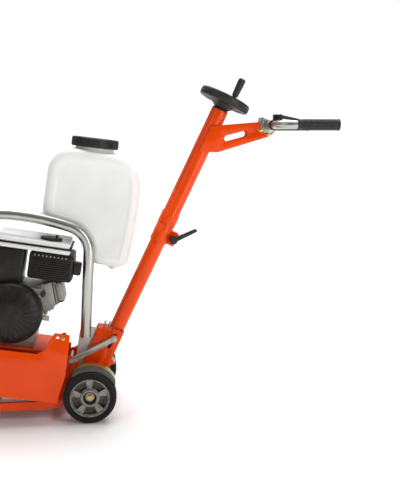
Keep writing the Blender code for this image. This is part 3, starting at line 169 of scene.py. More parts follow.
TANK = finish("white tank plastic", (0.86, 0.86, 0.835), (0.80, 0.80, 0.775), 0.42, 0.0, 9.0, 260.0, 0.08,
              subsurface=0.35)
WHITE_PAINT = finish("white paint", (0.80, 0.80, 0.79), (0.72, 0.72, 0.71), 0.30, 0.0, 12.0, 400.0, 0.1,
                     coat=0.3)
STEEL = finish("bare steel", (0.42, 0.41, 0.39), (0.30, 0.28, 0.25), 0.36, 1.0, 50.0, 500.0, 0.2)
GASKET = finish("heat-stained edge", (0.16, 0.085, 0.05), (0.09, 0.05, 0.035), 0.55, 0.3, 60.0, 800.0, 0.4)
print("finishes:", len([m for m in bpy.data.materials if m.use_nodes]))

# %% [markdown]
# ## Helpers for shapes
# A sheet, casting or block whose solid is right is copied from the frame: its doubles are merged, flat
# faces are joined again, and its sharp edges are eased with a bevel so that they catch the light. Turned
# parts are half outlines spun round an axis.

# %% Shape helpers
def settle(bm, name, body, material, hides=(), smooth=38.0):
    """Make a finished piece: its place is in its mesh, and it rides on a body of the machine."""
    mesh = bpy.data.meshes.new(name)
    bm.to_mesh(mesh)
    bm.free()
    mesh.shade_smooth()
    mesh.set_sharp_from_angle(angle=math.radians(smooth))
    piece = bpy.data.objects.new(name, mesh)
    bpy.context.scene.collection.objects.link(piece)
    mesh.materials.append(material)
    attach(piece, body)
    if hides:
        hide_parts(*hides)
    return piece


def ease(bm, width, angle=32.0, segments=2):
    """Bevel every edge that is sharper than an angle."""
    limit = math.radians(angle)
    sharp = [e for e in bm.edges if len(e.link_faces) == 2 and e.calc_face_angle(0.0) > limit]
    bmesh.ops.bevel(bm, geom=sharp, offset=width, offset_type="OFFSET", segments=segments, profile=0.5,
                    affect="EDGES", clamp_overlap=True, material=-1)


def refined(node, material, width):
    """A copy of a solid with eased edges, in the solid's place."""
    bm = bmesh.new()
    bm.from_mesh(frame["nodes"][node].data)
    bmesh.ops.remove_doubles(bm, verts=bm.verts, dist=0.000005)
    bmesh.ops.dissolve_limit(bm, angle_limit=math.radians(0.6), verts=bm.verts, edges=bm.edges)
    if width:
        ease(bm, width * 0.001)
    return settle(bm, node + "_finished", body_of_node[node], material, (node,))


def put(bm, place):
    """Move a mesh drawn in millimetres into the machine."""
    bmesh.ops.transform(bm, matrix=place, verts=bm.verts)
    return bm


TURN_TO = {"Z": Matrix.Identity(4), "Y": Matrix.Rotation(math.radians(-90.0), 4, "X"),
           "X": Matrix.Rotation(math.radians(90.0), 4, "Y")}


def turned(profile, axis="Z", steps=72, easing=0.0):
    """Spin a half outline of (radius, height) points round an axis."""
    bm = bmesh.new()
    points = [bm.verts.new((radius, 0.0, height)) for radius, height in profile]
    off_axis = [pair for pair in zip(points, points[1:]) if max(pair[0].co.x, pair[1].co.x) > 0.0]
    edges = [bm.edges.new(pair) for pair in off_axis]
    if profile[0][0] > 0.0 and profile[-1][0] > 0.0:
        edges.append(bm.edges.new((points[-1], points[0])))
    bmesh.ops.spin(bm, geom=points + edges, axis=(0, 0, 1), cent=(0, 0, 0), dvec=(0, 0, 0),
                   angle=2.0 * math.pi, steps=steps, use_merge=True, use_duplicate=False)
    bmesh.ops.remove_doubles(bm, verts=bm.verts, dist=0.01)
    bmesh.ops.recalc_face_normals(bm, faces=bm.faces)
    if easing:
        ease(bm, easing)
    bmesh.ops.transform(bm, matrix=TURN_TO[axis], verts=bm.verts)
    return bm


def block(low, high, easing=0.0, segments=2):
    """A box between two corners, with eased edges."""
    bm = bmesh.new()
    size = Vector(high) - Vector(low)
    middle = (Vector(high) + Vector(low)) / 2.0
    place = Matrix.Translation(middle) @ Matrix.Diagonal((*size, 1.0))
    bmesh.ops.create_cube(bm, size=1.0, matrix=place)
    if easing:
        ease(bm, easing, segments=segments)
    return bm


def gather(*parts):
    """Several meshes as one."""
    whole = bmesh.new()
    for part in parts:
        mesh = bpy.data.meshes.new("part")
        part.to_mesh(mesh)
        part.free()
        whole.from_mesh(mesh)
        bpy.data.meshes.remove(mesh)
    return whole


def moved(bm, offset=(0.0, 0.0, 0.0), turn=0.0, axis="Y"):
    """Turn a mesh about an axis through its origin, in degrees, and shift it."""
    matrix = Matrix.Translation(offset) @ Matrix.Rotation(math.radians(turn), 4, axis)
    bmesh.ops.transform(bm, matrix=matrix, verts=bm.verts)
    return bm


def hexagon(radius, low, high, axis="Y"):
    """A bolt head with chamfered corners."""
    profile = [(0.0, low), (radius, low), (radius, high - 0.8), (radius - 1.2, high), (0.0, high)]
    if high < low:
        profile = [(0.0, low), (radius, low), (radius, high + 0.8), (radius - 1.2, high), (0.0, high)]
    return turned(profile, axis, steps=6)


WASHER_RATIO = 1.45
WASHER_THICKNESS = 1.2


def bolt(radius, low, high, axis="Y"):
    """A washer with a bolt head on it, from low outwards to high."""
    step = math.copysign(WASHER_THICKNESS, high - low)
    rim = radius * WASHER_RATIO
    washer = turned([(0.0, low), (rim, low), (rim, low + step), (0.0, low + step)], axis, 24, 0.2)
    return gather(washer, hexagon(radius, low + step * 0.9, high, axis))


def pipe(points, radius, around=24):
    """A round bar or bead along points, closed at both ends."""
    bm = bmesh.new()
    path = [Vector(p) for p in points]
    first = (path[1] - path[0]).normalized()
    start = Matrix.Translation(path[0]) @ first.to_track_quat("Z", "Y").to_matrix().to_4x4()
    ring = bmesh.ops.create_circle(bm, cap_ends=False, radius=radius, segments=around, matrix=start)["verts"]
    ends = [list({e for v in ring for e in v.link_edges})]
    previous = first
    for index in range(1, len(path)):
        way = (path[index] - path[index - 1]).normalized()
        ahead = (path[min(index + 1, len(path) - 1)] - path[index]).normalized() if index + 1 < len(path) else way
        grown = bmesh.ops.extrude_edge_only(bm, edges=ends[-1])["geom"]
        ring = [g for g in grown if isinstance(g, bmesh.types.BMVert)]
        bmesh.ops.translate(bm, vec=path[index] - path[index - 1], verts=ring)
        bend = (way + ahead).normalized()
        turn = previous.rotation_difference(bend).to_matrix()
        bmesh.ops.rotate(bm, cent=path[index], matrix=turn, verts=ring)
        previous = bend
        ends.append([g for g in grown if isinstance(g, bmesh.types.BMEdge)])
    bmesh.ops.holes_fill(bm, edges=[e for e in bm.edges if e.is_boundary], sides=0)
    bmesh.ops.recalc_face_normals(bm, faces=bm.faces)
    return bm


print("helpers ready")

# %% [markdown]
# ## Sheet metal, castings and blocks that are already right
# These come straight from the frame. Laser-cut sheet gets a small edge break, castings a larger one.

# %% Refined solids
KEPT = [
    ("handle_plate_left", ORANGE, 0.5), ("handle_plate_right", ORANGE, 0.5), ("column_base", ORANGE, 0.6),
    ("chassis_rails", ORANGE, 0.6), ("side_plate_left", ORANGE, 1.2), ("side_plate_right", ORANGE, 1.2),
    ("drum_housing", ORANGE, 0.6), ("engine_bed", ORANGE, 1.6), ("undercarriage_frame", ORANGE, 0.8),
    ("lift_link_left", PLATED, 0.7), ("lift_link_right", PLATED, 0.7), ("lift_pin", PLATED, 0.5),
    ("lift_nut", PLATED, 0.6), ("arch_plate", GALVANISED, 0.5), ("tank_shelf", GALVANISED, 0.5),
    ("wheel_guard_left", YELLOW_ZINC, 0.6), ("wheel_guard_right", YELLOW_ZINC, 0.6),
    ("guard_strip_left", STRIP, 1.2), ("guard_strip_right", STRIP, 1.2),
    ("dead_man_lever", PLASTIC, 1.0), ("clamp_lever", PLASTIC, 1.0), ("handlebar_clamp", CLAMP, 1.0),
    ("starter_handle", PLASTIC, 0.0), ("air_cleaner", SHROUD, 0.0), ("engine_block", CASTING, 3.0),
    ("drive_pulley", CASTING, 0.4), ("drum_pulley", CASTING, 0.4), ("drive_belt", TYRE, 0.6),
    ("lifting_arch", SILVER, 0.5), ("lower_column", ORANGE, 0.5), ("front_axle", STEEL, 0.5),
    ("rear_axle", STEEL, 0.5), ("drum_shaft", STEEL, 0.5), ("upper_spindle", STEEL, 0.4),
    ("lower_spindle", STEEL, 0.4), ("spindle_bearing", PLASTIC, 0.4),
]
for node, material, width in KEPT:
    refined(node, material, width)
print("refined solids:", len(KEPT))

# %% [markdown]
# ## Rear wheels
# A solid rubber tyre sits on a die-cast rim with five deep pockets between broad spokes. The rim is spun,
# and then the faces of each pocket are picked by their angle, inset and pushed in, which gives the sloping
# walls that a casting needs to leave its mould.

# %% Rear wheels
WHEEL_INNER = 1000.0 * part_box("rear_tyre_right")[0].y
POCKETS = 5
POCKET_HALF = math.radians(24.5)
POCKET_REACH = (30.0, 53.0)
FRONT_HUB = (-455.0, 0.0, 45.0 - AXLE_HEIGHT)
FRONT_WHEEL_FACE = 71.0
SIDES = ((-1.0, "left"), (1.0, "right"))


def from_side(profile, side, base):
    """Heights counted outwards from a face on one side of the machine."""
    return [(radius, side * (base + height)) for radius, height in profile]


def rear_rim(side, label):
    profile = [(10.4, 0.0), (22.0, 0.0), (22.0, 14.0), (50.0, 22.0), (54.5, 3.0), (60.0, 3.0), (60.0, 47.2),
               (58.8, 48.5), (56.8, 48.5), (55.8, 47.6), (54.8, 44.6), (53.6, 43.2), (29.4, 42.6), (28.0, 43.4),
               (26.6, 47.4), (25.6, 48.4), (21.2, 48.4), (20.2, 47.4), (20.2, 31.7), (10.4, 31.7)]
    bm = turned(from_side(profile, side, WHEEL_INNER), "Y", 120)
    for index in range(POCKETS):
        middle = math.radians(54.0 + 360.0 / POCKETS * index)
        chosen = []
        for face in bm.faces:
            spot = face.calc_center_median()
            radius = math.hypot(spot.x, spot.z)
            turn = (math.atan2(spot.z, spot.x) - middle + math.pi) % (2.0 * math.pi) - math.pi
            outside = abs(spot.y) > WHEEL_INNER + 42.0
            if outside and POCKET_REACH[0] < radius < POCKET_REACH[1] and abs(turn) < POCKET_HALF:
                chosen.append(face)
        bmesh.ops.inset_region(bm, faces=chosen, thickness=0.7, depth=-0.5, use_even_offset=False)
        walls = bmesh.ops.inset_region(bm, faces=chosen, thickness=1.3, depth=-14.0, use_even_offset=False)
        # Pocket floors and walls take the second, darker finish: it paints the shade in the pockets along with their
        # dirt.
        for face in chosen + walls["faces"]:
            face.material_index = 1
    rim = settle(put(bm, AXLE), "rear_rim_%s_cast" % label, "rear_wheel_" + label, RIM,
                 ("rear_rim_" + label,), 30.0)
    # Second slot: the darker pocket finish, which is dirt plus painted shade.
    rim.data.materials.append(RIM_DIRT_AND_SHADE)
    insert = turned(from_side([(14.8, 32.0), (19.8, 32.0), (19.8, 40.0), (18.6, 41.0), (15.6, 37.0), (14.8, 36.0)],
                              side, WHEEL_INNER), "Y", 48)
    settle(put(insert, AXLE), "hub_insert_" + label, "rear_wheel_" + label, PLASTIC)


def rear_tyre(side, label):
    profile = [(60.3, 1.0), (64.0, 0.6), (65.4, 1.5), (66.8, 1.5), (68.0, 0.4), (73.0, 0.8), (76.6, 2.8),
               (79.0, 6.0), (80.0, 10.0), (80.0, 24.2), (79.2, 24.7), (79.2, 25.3), (80.0, 25.8), (80.0, 40.0),
               (79.0, 44.0), (76.6, 47.2), (73.0, 49.2), (68.0, 49.6), (66.8, 48.5), (65.4, 48.5), (64.0, 49.4),
               (60.3, 49.0)]
    bm = turned(from_side(profile, side, WHEEL_INNER), "Y", 120)
    settle(put(bm, AXLE), "rear_tyre_%s_rubber" % label, "rear_wheel_" + label, TYRE,
           ("rear_tyre_" + label,))


def wheel_bolt(side, label):
    base = WHEEL_INNER + 32.4
    washer_half = [(0.0, 0.0), (14.0, 0.0), (14.0, 2.2), (13.2, 3.0), (0.0, 3.0)]
    washer = turned(from_side(washer_half, side, base), "Y", 48)
    head = hexagon(9.6, side * (base + 2.8), side * (base + 11.0))
    stub_half = [(0.0, 10.5), (3.6, 10.5), (3.6, 11.6), (0.0, 11.6)]
    stub = turned(from_side(stub_half, side, base), "Y", 24)
    settle(put(gather(head, stub), AXLE), "wheel_bolt_" + label, "carriage", YELLOW_ZINC,
           ("axle_bolt_" + label,))
    settle(put(washer, AXLE), "wheel_washer_" + label, "carriage", PLATED)


def front_wheel(side, label):
    profile = [(8.3, 0.0), (15.0, 0.0), (16.0, 1.0), (17.0, 6.0), (30.0, 7.0), (33.0, 2.0), (36.0, 0.4), (41.0, 0.2),
               (44.0, 2.2), (45.0, 6.0), (45.0, 29.0), (44.0, 32.8), (41.0, 34.8), (36.0, 34.6), (33.0, 33.0),
               (30.0, 28.0), (17.0, 29.0), (16.0, 34.0), (15.0, 35.0), (8.3, 35.0)]
    bm = turned(from_side(profile, side, FRONT_WHEEL_FACE), "Y", 72)
    hub = AXLE @ Matrix.Translation(FRONT_HUB)
    settle(put(bm, hub), "front_wheel_%s_rubber" % label, "front_wheel_" + label, TYRE,
           ("front_wheel_" + label,))


for side, label in SIDES:
    rear_rim(side, label)
    rear_tyre(side, label)
    wheel_bolt(side, label)
    front_wheel(side, label)

# %% [markdown]
# ## Column
# The upper tube slides over the lower one. Its foot is a split sleeve with two ears, which the clamp lever
# squeezes. The weld beads where the handle plates meet the tube are thin bars that sink part way into it.

# %% Upper column
UPPER_FOOT = 502.5
STUD = (39.3, 527.5)


def upper_column():
    inner, outer = 24.5, 26.0
    profile = [(inner, UPPER_FOOT), (27.3, UPPER_FOOT), (27.7, UPPER_FOOT + 1.0), (27.7, 560.0), (27.0, 561.0),
               (27.0, 562.0), (28.2, 563.2), (28.6, 565.0), (28.6, 597.5), (28.2, 599.0), (26.4, 603.0), (outer, 605.0),
               (outer, COLUMN_LENGTH - 0.6), (outer - 0.6, COLUMN_LENGTH), (inner, COLUMN_LENGTH)]
    tube = turned(profile, "Z", 96)
    ears = []
    for near, far in ((-14.0, -1.6), (1.6, 14.0)):
        ear = block((24.8, near, STUD[1] - 22.0), (STUD[0] + 11.0, far, STUD[1] + 23.0), 5.0, 4)
        ears.append(ear)
    settle(put(gather(tube, *ears), COLUMN), "upper_tube", "column", ORANGE, ("upper_column",))


upper_column()
rings = []
for s in (561.2, UPPER_FOOT - 0.3):
    rings.append(turned([(24.2, s), (27.75, s), (27.75, s + 0.7), (24.2, s + 0.7)], "Z", 64))
settle(put(gather(*rings), COLUMN), "sleeve_seams", "column", GASKET)
for side, label in SIDES:
    run = [(-8.2, side * 25.4, COLUMN_LENGTH - 140.0 + 4.0 * i) for i in range(21)]
    settle(put(pipe(run, 1.6, 10), COLUMN), "plate_weld_" + label, "column", ORANGE)
print("upper column to s =", COLUMN_LENGTH)

# %% [markdown]
# ## Handwheel and its knob
# The handwheel is a dished moulding with a deep hub. The knob spins on a pin near the rim.

# %% Handwheel
CRANK_TURN = math.radians(-79.0)
KNOB_ARM = 71.0


def handwheel():
    profile = [(8.3, 4.5), (19.0, 4.5), (21.0, 5.4), (23.0, 7.5), (31.0, 14.0), (39.0, 19.5), (47.0, 23.4),
               (55.0, 25.6), (60.0, 26.0), (63.0, 25.0), (66.0, 23.4), (69.0, 22.4), (73.0, 22.0), (76.6, 23.0),
               (79.2, 26.0),
               (80.0, 30.5), (80.0, 40.0), (79.2, 44.2), (76.6, 47.0), (73.0, 48.0), (69.0, 47.4), (65.4, 45.0),
               (62.0, 41.5), (57.0, 39.6), (34.0, 39.0), (28.0, 41.0), (23.0, 45.0), (20.0, 46.0), (8.3, 46.0)]
    settle(put(turned(profile, "Z", 120), TOP), "handwheel_moulding", "handwheel", PLASTIC,
           ("handwheel",))
    washer = turned([(0.0, 45.8), (13.0, 45.8), (13.0, 47.4), (0.0, 47.4)], "Z", 32, 0.3)
    nut = gather(washer, hexagon(9.0, 47.3, 54.0, "Z"))
    settle(put(nut, TOP), "handwheel_nut", "handwheel", PLATED)
    spot = (KNOB_ARM * math.cos(CRANK_TURN), KNOB_ARM * math.sin(CRANK_TURN), 48.3)
    knob = [(0.0, 0.0), (6.2, 0.0), (6.4, 2.0), (8.8, 3.4), (9.6, 6.0), (9.9, 12.0), (10.6, 30.0), (11.2, 48.0),
            (11.0, 53.0), (9.8, 56.4), (7.0, 58.0), (3.0, 58.0), (2.4, 56.8), (0.0, 56.8)]
    grip = moved(turned(knob, "Z", 48), spot)
    settle(put(grip, TOP), "crank_grip", "knob", PLASTIC, ("crank_knob",))


handwheel()

# %% [markdown]
# ## Handlebar
# One tube is bent to a shallow U. A half is drawn from the middle outwards and mirrored. The grips are
# rubber sleeves with long flutes, cut by pushing in strips of faces.

# %% Handlebar and grips
PIVOT = HEAD @ Matrix.Translation((147.1, 0.0, -44.5))
BEND = 45.0
GRIP_LINE = 165.0


def handlebar():
    half = []
    for i in range(13):
        turn = math.radians(7.5 * i)
        half.append((BEND - BEND * math.cos(turn), GRIP_LINE - BEND + BEND * math.sin(turn), 0.0))
    half.append((176.0, GRIP_LINE, 0.0))
    path = [(x, -y, z) for x, y, z in reversed(half)] + half
    settle(put(pipe(path, 12.5, 40), PIVOT), "handlebar_tube", "handlebar", SILVER, ("handlebar",))
    for side, label in SIDES:
        profile = [(12.8, 56.0), (16.6, 56.0), (17.2, 56.8), (17.2, 59.2), (16.4, 60.4), (16.0, 62.0), (16.0, 66.0),
                   (16.2, 72.0), (16.2, 168.0), (16.0, 173.0), (16.4, 175.0), (17.2, 176.4), (17.2, 179.6),
                   (16.2, 181.0), (0.0, 181.0), (0.0, 177.4), (12.8, 177.4)]
        grip = turned(profile, "X", 60)
        flutes = {}
        for face in grip.faces:
            spot = face.calc_center_median()
            around = int((math.degrees(math.atan2(spot.z, spot.y)) % 360.0) // 6.0)
            on_sleeve = 70.0 < spot.x < 170.0 and math.hypot(spot.y, spot.z) > 15.0
            if on_sleeve and around % 5 in (0, 1, 2):
                flutes.setdefault(around // 5, []).append(face)
        for strip in flutes.values():
            bmesh.ops.inset_region(grip, faces=strip, thickness=0.5, depth=-0.9, use_even_offset=True)
        settle(put(moved(grip, (0.0, side * GRIP_LINE, 0.0)), PIVOT), "grip_%s_rubber" % label, "handlebar", GRIP,
               ("grip_" + label,), 50.0)


PLATE_OUTER = 1000.0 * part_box("handle_plate_right")[1].y
handlebar()
band = turned([(12.9, -117.6), (15.4, -117.6), (15.4, -98.6), (12.9, -98.6)], "Y", 40, 0.5)
housing = block((-3.0, -117.8, 13.6), (24.0, -98.2, 31.0), 3.0, 3)
settle(put(gather(band, housing), PIVOT), "lever_housing", "handlebar", PLASTIC, ("lever_block",))
near = 1000.0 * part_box("handlebar_clamp")[0].y
ribs = []
for x in (-19.0, -12.5, -6.0):
    ribs.append(moved(block((x - 1.5, near - 0.6, 2.0), (x + 1.5, near + 1.0, 16.4), 0.4), turn=19.0))
settle(put(gather(*ribs), PIVOT), "clamp_ribs", "column", CLAMP)
bolts = []
for side, label in SIDES:
    for x, z in ((122.6, -59.0), (146.9, -73.0)):
        bolts.append(moved(bolt(4.4, side * PLATE_OUTER, side * (PLATE_OUTER + 4.6)), (x, 0.0, z)))
settle(put(gather(*bolts), HEAD), "handle_bolts", "column", YELLOW_ZINC)
print("handlebar pivot at", [round(v, 3) for v in PIVOT.translation])

# %% [markdown]
# ## Water tank
# The tank is blow-moulded: all its edges are very round, and each broad side has a shallow panel that
# stiffens it. The outline is a face whose corners are rounded by a vertex bevel, extruded to the tank's depth.
# The rims of both broad sides are then rounded by an edge bevel, and the panels are insets scaled towards their
# middle: an even inset would fold over itself at the small corners.

# %% Water tank
TANK_CORNERS = [((-62.0, 461.0), 30.0), ((-71.8, 559.2), 56.0), ((-225.0, 583.0), 30.0), ((-225.5, 806.0), 78.0),
                ((60.0, 806.0), 96.0), ((66.0, 600.0), 60.0), ((56.0, 461.0), 30.0)]
TANK_NEAR, TANK_FAR = -20.0, 150.0
TANK_MIDDLE = (TANK_NEAR + TANK_FAR) / 2.0


def water_tank():
    bm = bmesh.new()
    corners = [bm.verts.new((x, TANK_NEAR, z)) for (x, z), _ in TANK_CORNERS]
    bm.faces.new(corners)
    for vert, (_, offset) in zip(corners, TANK_CORNERS):
        bmesh.ops.bevel(bm, geom=[vert], offset=offset, offset_type="OFFSET", segments=8, profile=0.5,
                        affect="VERTICES", clamp_overlap=True, material=-1)
    grown = bmesh.ops.extrude_face_region(bm, geom=list(bm.faces))["geom"]
    shift = [g for g in grown if isinstance(g, bmesh.types.BMVert)]
    bmesh.ops.translate(bm, vec=(0.0, TANK_FAR - TANK_NEAR, 0.0), verts=shift)
    bmesh.ops.recalc_face_normals(bm, faces=bm.faces)
    rim = [e for e in bm.edges if abs(e.verts[0].co.y - e.verts[1].co.y) < 0.01]
    bmesh.ops.bevel(bm, geom=rim, offset=24.0, offset_type="OFFSET", segments=7, profile=0.5, affect="EDGES",
                    clamp_overlap=False, material=-1)
    for sign in (-1.0, 1.0):
        side = [f for f in bm.faces if f.normal.y * sign > 0.999]
        for shrink, depth in ((0.95, 0.0), (0.975, -1.6), (0.985, -0.3)):
            bmesh.ops.inset_region(bm, faces=side, thickness=0.3, depth=depth, use_even_offset=False)
            inner = list({v for f in side for v in f.verts})
            middle = sum((v.co for v in inner), Vector()) / len(inner)
            bmesh.ops.scale(bm, vec=(shrink, 1.0, shrink), space=Matrix.Translation(-middle), verts=inner)
    settle(put(bm, CHASSIS), "tank_moulding", "chassis", TANK, ("water_tank",), 60.0)


water_tank()
NECK = CHASSIS @ Matrix.Translation((-95.8, TANK_MIDDLE, 816.3)) @ Matrix.Rotation(math.radians(-2.5), 4, "Y")
neck = [(52.0, -18.0), (63.0, -18.0), (61.0, -9.0), (59.6, -6.0), (59.6, -1.0), (60.0, 0.5)]
for turn in range(4):
    neck += [(60.0, 1.0 + 5.0 * turn), (58.6, 2.6 + 5.0 * turn), (58.6, 4.0 + 5.0 * turn), (60.0, 5.6 + 5.0 * turn)]
neck += [(60.0, 21.0), (55.0, 21.0), (52.0, 19.0)]
settle(put(turned(neck, "Z", 96), NECK), "tank_neck_moulding", "chassis", TANK)
outlet = [(0.0, 441.5), (9.0, 441.5), (9.0, 446.0), (18.0, 447.5), (20.0, 449.0), (20.0, 464.0), (0.0, 464.0)]
boss = moved(turned(outlet, "Z", 48), (13.0, TANK_MIDDLE, 0.0))
settle(put(boss, CHASSIS), "tank_outlet_boss", "chassis", TANK)


def tank_cap():
    profile = [(60.8, 0.0), (71.0, 0.0), (71.6, 0.8), (71.8, 3.0), (71.8, 25.0), (71.0, 27.6), (69.0, 29.0),
               (64.0, 29.3), (62.0, 28.4), (0.0, 28.2), (0.0, 22.3), (60.8, 22.3)]
    bm = turned(profile, "Z", 144)
    ribs = []
    for face in bm.faces:
        spot = face.calc_center_median()
        around = int((math.degrees(math.atan2(spot.y, spot.x)) % 360.0) // 2.5)
        on_rim = 3.0 < spot.z < 25.0 and math.hypot(spot.x, spot.y) > 71.0
        if on_rim and around % 2 == 0:
            ribs.append(face)
    bmesh.ops.inset_individual(bm, faces=ribs, thickness=0.35, depth=1.1, use_even_offset=True)
    settle(put(bm, NECK), "tank_cap_ribbed", "water_cap", PLASTIC, ("tank_cap",), 30.0)


tank_cap()

# %% [markdown]
# ## Engine
# The engine is a single-cylinder petrol engine that leans backwards. From the left it shows a grey rocker
# cover, a black louvred exhaust guard with its square outlet, a white tank with a black seam and a black cap,
# and the recoil starter. Cooling fins are thin plates set along the cylinder.

# %% Engine
BED = 189.3
CRANK = Vector((-268.0, 0.0, BED - 0.3 + 106.0))
COVER_SPOT = (-151.5, 0.0, BED + 172.0)
COVER_TURN = math.degrees(math.atan2(-24.0, 71.0))


def cylinder_fins():
    fins = []
    for k in range(7):
        plate = block((58.0 + 6.2 * k, -57.0, -44.0), (60.0 + 6.2 * k, 57.0, 44.0), 0.6, 1)
        fins.append(moved(plate, tuple(CRANK + Vector((15.0, 0.0, 6.0))), -30.0))
    settle(put(gather(*fins), CHASSIS), "cylinder_fins", "chassis", CASTING)


def rocker_cover():
    foot = block((0.0, -49.0, -36.0), (5.0, 49.0, 36.0), 2.0)
    dome = block((4.0, -45.0, -32.0), (27.0, 45.0, 32.0), 8.0, 5)
    screws = [moved(hexagon(4.0, 4.0, 10.0, "X"), (0.0, y, z)) for y in (-43.0, 43.0) for z in (-30.0, 30.0)]
    cover = moved(gather(foot, dome, *screws), COVER_SPOT, COVER_TURN)
    settle(put(cover, CHASSIS), "rocker_cover_casting", "chassis", CASTING, ("rocker_cover",))
    seam = block((-0.8, -49.4, -36.4), (0.9, 49.4, 36.4), 0.3, 1)
    stain = block((5.0, -45.2, -32.4), (22.0, 45.2, -25.0), 3.0, 3)
    gasket = moved(gather(seam, stain), COVER_SPOT, COVER_TURN)
    settle(put(gasket, CHASSIS), "rocker_cover_gasket", "chassis", GASKET)


GUARD_LOW = BED + 214.8


def exhaust_guard():
    body = block((-239.0, -76.0, GUARD_LOW), (-106.0, 69.0, GUARD_LOW + 83.0), 10.0, 4)
    louvres = []
    for k in range(9):
        z = GUARD_LOW + 11.0 + 6.6 * k
        louvres.append(moved(block((-58.0, -2.6, -0.9), (58.0, 1.0, 0.9), 0.4, 1), (-172.5, -76.2, z), 28.0, "X"))
        louvres.append(moved(block((-1.0, -62.0, -0.9), (2.2, 62.0, 0.9), 0.4, 1), (-106.2, -3.0, z), 25.0, "Y"))
    outlet = block((-107.0, -70.0, GUARD_LOW + 26.0), (-81.5, -30.0, GUARD_LOW + 64.0), 6.0, 4)
    mouth = [f for f in outlet.faces if f.normal.x > 0.999]
    bmesh.ops.inset_region(outlet, faces=mouth, thickness=5.0, depth=0.0, use_even_offset=True)
    bmesh.ops.inset_region(outlet, faces=mouth, thickness=1.0, depth=-12.0, use_even_offset=True)
    settle(put(gather(body, outlet, *louvres), CHASSIS), "exhaust_guard", "chassis", SHROUD,
           ("muffler_guard",))
    studs = []
    for k in range(9):
        studs.append(moved(turned([(0.0, -77.4), (2.0, -77.4), (2.0, -75.0), (0.0, -75.0)], "Y", 12),
                           (-222.0 + 11.5 * k, 0.0, GUARD_LOW + 74.0)))
    settle(put(gather(*studs), CHASSIS), "exhaust_guard_rivets", "chassis", PLATED)


def fuel_tank():
    low = GUARD_LOW + 86.0
    lower = block((-344.0, -84.0, low), (-121.0, 94.0, low + 14.5), 5.0, 4)
    settle(put(lower, CHASSIS), "fuel_tank_lower", "chassis", WHITE_PAINT, ("fuel_tank",))
    upper = block((-343.0, -83.0, low + 17.0), (-123.0, 93.0, low + 33.0), 9.0, 5)
    settle(put(upper, CHASSIS), "fuel_tank_upper", "chassis", WHITE_PAINT)
    seam = block((-348.0, -84.8, low + 13.5), (-117.0, 94.8, low + 19.0), 2.0, 2)
    settle(put(seam, CHASSIS), "fuel_tank_seam", "chassis", SHROUD)
    corners = [(x, y) for x in (-232.0, -150.0) for y in (-70.0, 45.0)]
    feet = [block((x, y, low - 3.2), (x + 24.0, y + 16.0, low + 1.0), 1.0) for x, y in corners]
    settle(put(gather(*feet), CHASSIS), "fuel_tank_feet", "chassis", SHROUD)
    top = low + 33.3
    cap = turned([(0.0, 0.0), (31.0, 0.0), (33.0, 0.8), (33.0, 5.6), (31.0, 7.0), (14.0, 7.0), (0.0, 6.6)], "Z", 60)
    rim = [f for f in cap.faces if abs(f.normal.z) < 0.2 and f.calc_center_median().to_2d().length > 32.0]
    bmesh.ops.inset_individual(cap, faces=rim[::2], thickness=0.4, depth=-0.8, use_even_offset=True)
    knob = turned([(0.0, 6.0), (4.4, 6.0), (3.2, 9.0), (4.8, 11.0), (4.8, 14.6), (3.6, 16.0), (0.0, 16.0)], "Z", 24)
    whole = moved(gather(cap, moved(knob, (15.0, 0.0, 0.0))), (-183.0, -35.0, top))
    settle(put(whole, CHASSIS), "fuel_cap_moulding", "petrol_cap", PLASTIC, ("fuel_cap",))


def recoil_starter():
    profile = [(0.0, -127.0), (16.0, -127.3), (30.0, -127.0), (40.0, -125.0), (60.0, -121.0), (74.0, -115.0),
               (86.0, -108.0), (92.0, -101.0), (93.8, -94.0), (93.8, -75.4), (90.5, -75.4), (90.5, -97.0),
               (84.0, -107.0), (0.0, -119.5)]
    bm = turned(profile, "Y", 96)
    slots = {}
    for face in bm.faces:
        spot = face.calc_center_median()
        radius = math.hypot(spot.x, spot.z)
        around = int((math.degrees(math.atan2(spot.z, spot.x)) % 360.0) // 3.75)
        on_face = spot.y < -105.0 and face.normal.y < -0.3 and 41.0 < radius < 86.0
        if on_face and around % 4 in (0, 1):
            slots.setdefault(around // 4, []).append(face)
    for faces in slots.values():
        bmesh.ops.inset_region(bm, faces=faces, thickness=0.9, depth=-1.8, use_even_offset=True)
    settle(put(moved(bm, (CRANK.x, 0.0, CRANK.z)), CHASSIS), "recoil_cover_moulding", "chassis", SHROUD,
           ("recoil_cover",), 45.0)


cylinder_fins()
rocker_cover()
exhaust_guard()
fuel_tank()
recoil_starter()
rod = [(-205.0, -62.0, 352.0), (-190.0, -62.0, 330.0), (-176.0, -61.0, 300.0), (-160.0, -60.0, 285.0)]
rods = [pipe(rod, 2.0, 10),
        moved(bolt(4.0, -60.0, -66.0), (-168.0, 0.0, 300.0)), moved(bolt(4.0, -60.0, -66.0), (-182.0, 0.0, 288.0)),
        block((-196.0, -62.0, 276.0), (-156.0, -56.0, 292.0), 1.5)]
settle(put(gather(*rods), CHASSIS), "governor_rods", "chassis", PLATED)
print("engine pieces done")

# %% [markdown]
# ## Small parts on the chassis and the column's foot
# A bolt and a rubber stop sit on the ear of the left side plate, and two short springs stand on the gusset's lid.
# A spring is a circle spun with a rise at every step.

# %% Small parts
def spring(height, turns, radius=3.9, wire=1.15):
    bm = bmesh.new()
    stand = Matrix.Translation((radius, 0.0, 0.0)) @ Matrix.Rotation(math.radians(90.0), 4, "X")
    ring = bmesh.ops.create_circle(bm, cap_ends=False, radius=wire, segments=8, matrix=stand)["verts"]
    steps = 16 * turns
    edges = list({e for v in ring for e in v.link_edges})
    bmesh.ops.spin(bm, geom=list(ring) + edges, axis=(0, 0, 1), cent=(0, 0, 0), dvec=(0, 0, height / steps),
                   angle=2.0 * math.pi * turns, steps=steps, use_merge=False, use_duplicate=False)
    bmesh.ops.holes_fill(bm, edges=[e for e in bm.edges if e.is_boundary], sides=0)
    bmesh.ops.recalc_face_normals(bm, faces=bm.faces)
    return bm


